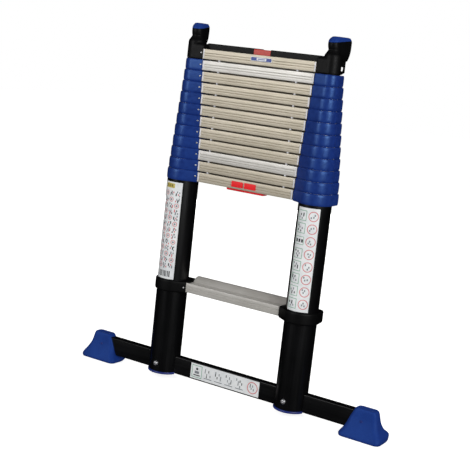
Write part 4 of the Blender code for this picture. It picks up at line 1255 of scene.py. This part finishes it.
class LADDER_OT_collars(bpy.types.Operator):
    """Builds the blue collars, the black clamps and their rivets"""
    bl_idname = "ladder.collars"
    bl_label = "Collars"

    def execute(self, context):
        for side_name, side in SIDES.items():
            clamp(side_name, side)
            for section in range(BASE_SECTION, TOP_SECTION):
                collar(section, side_name, side)
        return {"FINISHED"}


class LADDER_OT_rungs(bpy.types.Operator):
    """Builds the rungs and their buffers"""
    bl_idname = "ladder.rungs"
    bl_label = "Rungs"

    def execute(self, context):
        for section in range(1, TOP_SECTION + 1):
            rung(section, sizes())
            if section >= BASE_SECTION:
                end_trims(section)
            if section > BASE_SECTION:
                buffers(section)
        return {"FINISHED"}


class LADDER_OT_release(bpy.types.Operator):
    """Builds the release buttons, their tray and the lock pins"""
    bl_idname = "ladder.release"
    bl_label = "Release unit"

    def execute(self, context):
        release_tray()
        for side_name, side in SIDES.items():
            release_button(side_name, side)
            lock_pin(side_name, side)
        return {"FINISHED"}


class LADDER_OT_stabiliser(bpy.types.Operator):
    """Builds the stabiliser bar with its plugs and bolts"""
    bl_idname = "ladder.stabiliser"
    bl_label = "Stabiliser"

    def execute(self, context):
        stabiliser_bar()
        for side_name, side in SIDES.items():
            tube_plug(side_name, side)
            stabiliser_bolt(side_name, side)
        return {"FINISHED"}


class LADDER_OT_feet(bpy.types.Operator):
    """Builds the rubber feet"""
    bl_idname = "ladder.feet"
    bl_label = "Feet"

    def execute(self, context):
        for side_name, side in SIDES.items():
            foot(side_name, side)
            foot_screw(side_name, side)
        return {"FINISHED"}


class LADDER_OT_top(bpy.types.Operator):
    """Builds the top caps, the wall pads, and the cover with its tab"""
    bl_idname = "ladder.top"
    bl_label = "Top"

    def execute(self, context):
        for side_name, side in SIDES.items():
            top_cap(side_name, side)
            wall_pad(side_name, side)
        top_cover()
        return {"FINISHED"}


class LADDER_OT_labels(bpy.types.Operator):
    """Builds the labels, whose print is plain marks"""
    bl_idname = "ladder.labels"
    bl_label = "Labels"

    def execute(self, context):
        size = sizes()
        bottom, height = size.label_bottom, (size.label_top - size.label_bottom) * 1000
        for side_name, side, first, last, marks in (("left", -1, -41, 35, tube_marks_left),
                                                    ("right", 1, -35, 48, tube_marks_right)):
            width = math.radians(last - first) * BASE_RADIUS * 1000
            label(f"tube_label_{side_name}", on_tube(side, first, bottom), width, height,
                  marks(width, height), "base", "black_anodised_aluminium")
        front = -(BAR_HIGH.y - BAR_LOW.y) / 2
        label("bar_label", on_front(BAR_LABEL_LEFT, BAR_LABEL_BOTTOM, front), *BAR_LABEL_MM,
              bar_marks(*BAR_LABEL_MM), "base", "black_anodised_aluminium")
        badge = ((BLUE, "bar", (0.8, 0.8, 17, 9.2)), (BLUE, "bar", (45, 0.8, 60, 9.2)),
                 (BLUE, "bar", (17, 0.8, 45, 2.0)), (BLUE, "bar", (17, 8.0, 45, 9.2)),
                 (BLUE, "bar", (20, 4.0, 42, 6.0)))
        place = on_front(BADGE_LEFT, rung_bottom(TOP_SECTION) + BADGE_RISE, -RUNG_FRONT)
        label("rung_badge", place, *BADGE_MM, badge, body_of(TOP_SECTION), "champagne_anodised_aluminium")
        return {"FINISHED"}


class LADDER_OT_stage(bpy.types.Operator):
    """Builds the floor, the lights and the camera"""
    bl_idname = "ladder.stage"
    bl_label = "Stage"

    def execute(self, context):
        studio(colours())
        return {"FINISHED"}


STEPS = (LADDER_OT_finishes, LADDER_OT_tubes, LADDER_OT_collars, LADDER_OT_rungs, LADDER_OT_release,
         LADDER_OT_stabiliser, LADDER_OT_feet, LADDER_OT_top, LADDER_OT_labels, LADDER_OT_stage)


class LADDER_PT_panel(bpy.types.Panel):
    """The ladder's steps, sizes and colours"""
    bl_idname = "LADDER_PT_panel"
    bl_label = "Telescoping Ladder"
    bl_space_type = "VIEW_3D"
    bl_region_type = "UI"
    bl_category = "Ladder"

    def draw(self, context):
        for step in STEPS:
            self.layout.operator(step.bl_idname)
        for group in (context.scene.ladder_sizes, context.scene.ladder_colours):
            for name in group.__annotations__:
                self.layout.prop(group, name)


CLASSES = (LADDER_PG_sizes, LADDER_PG_colours, *STEPS, LADDER_PT_panel)


def register():
    for cls in CLASSES:
        bpy.utils.register_class(cls)
    bpy.types.Scene.ladder_sizes = PointerProperty(type=LADDER_PG_sizes)
    bpy.types.Scene.ladder_colours = PointerProperty(type=LADDER_PG_colours)


def unregister():
    del bpy.types.Scene.ladder_colours
    del bpy.types.Scene.ladder_sizes
    for cls in reversed(CLASSES):
        bpy.utils.unregister_class(cls)


def main():
    register()
    for step in STEPS:
        group, name = step.bl_idname.split(".")
        getattr(getattr(bpy.ops, group), name)()


if __name__ == "__main__":
    main()
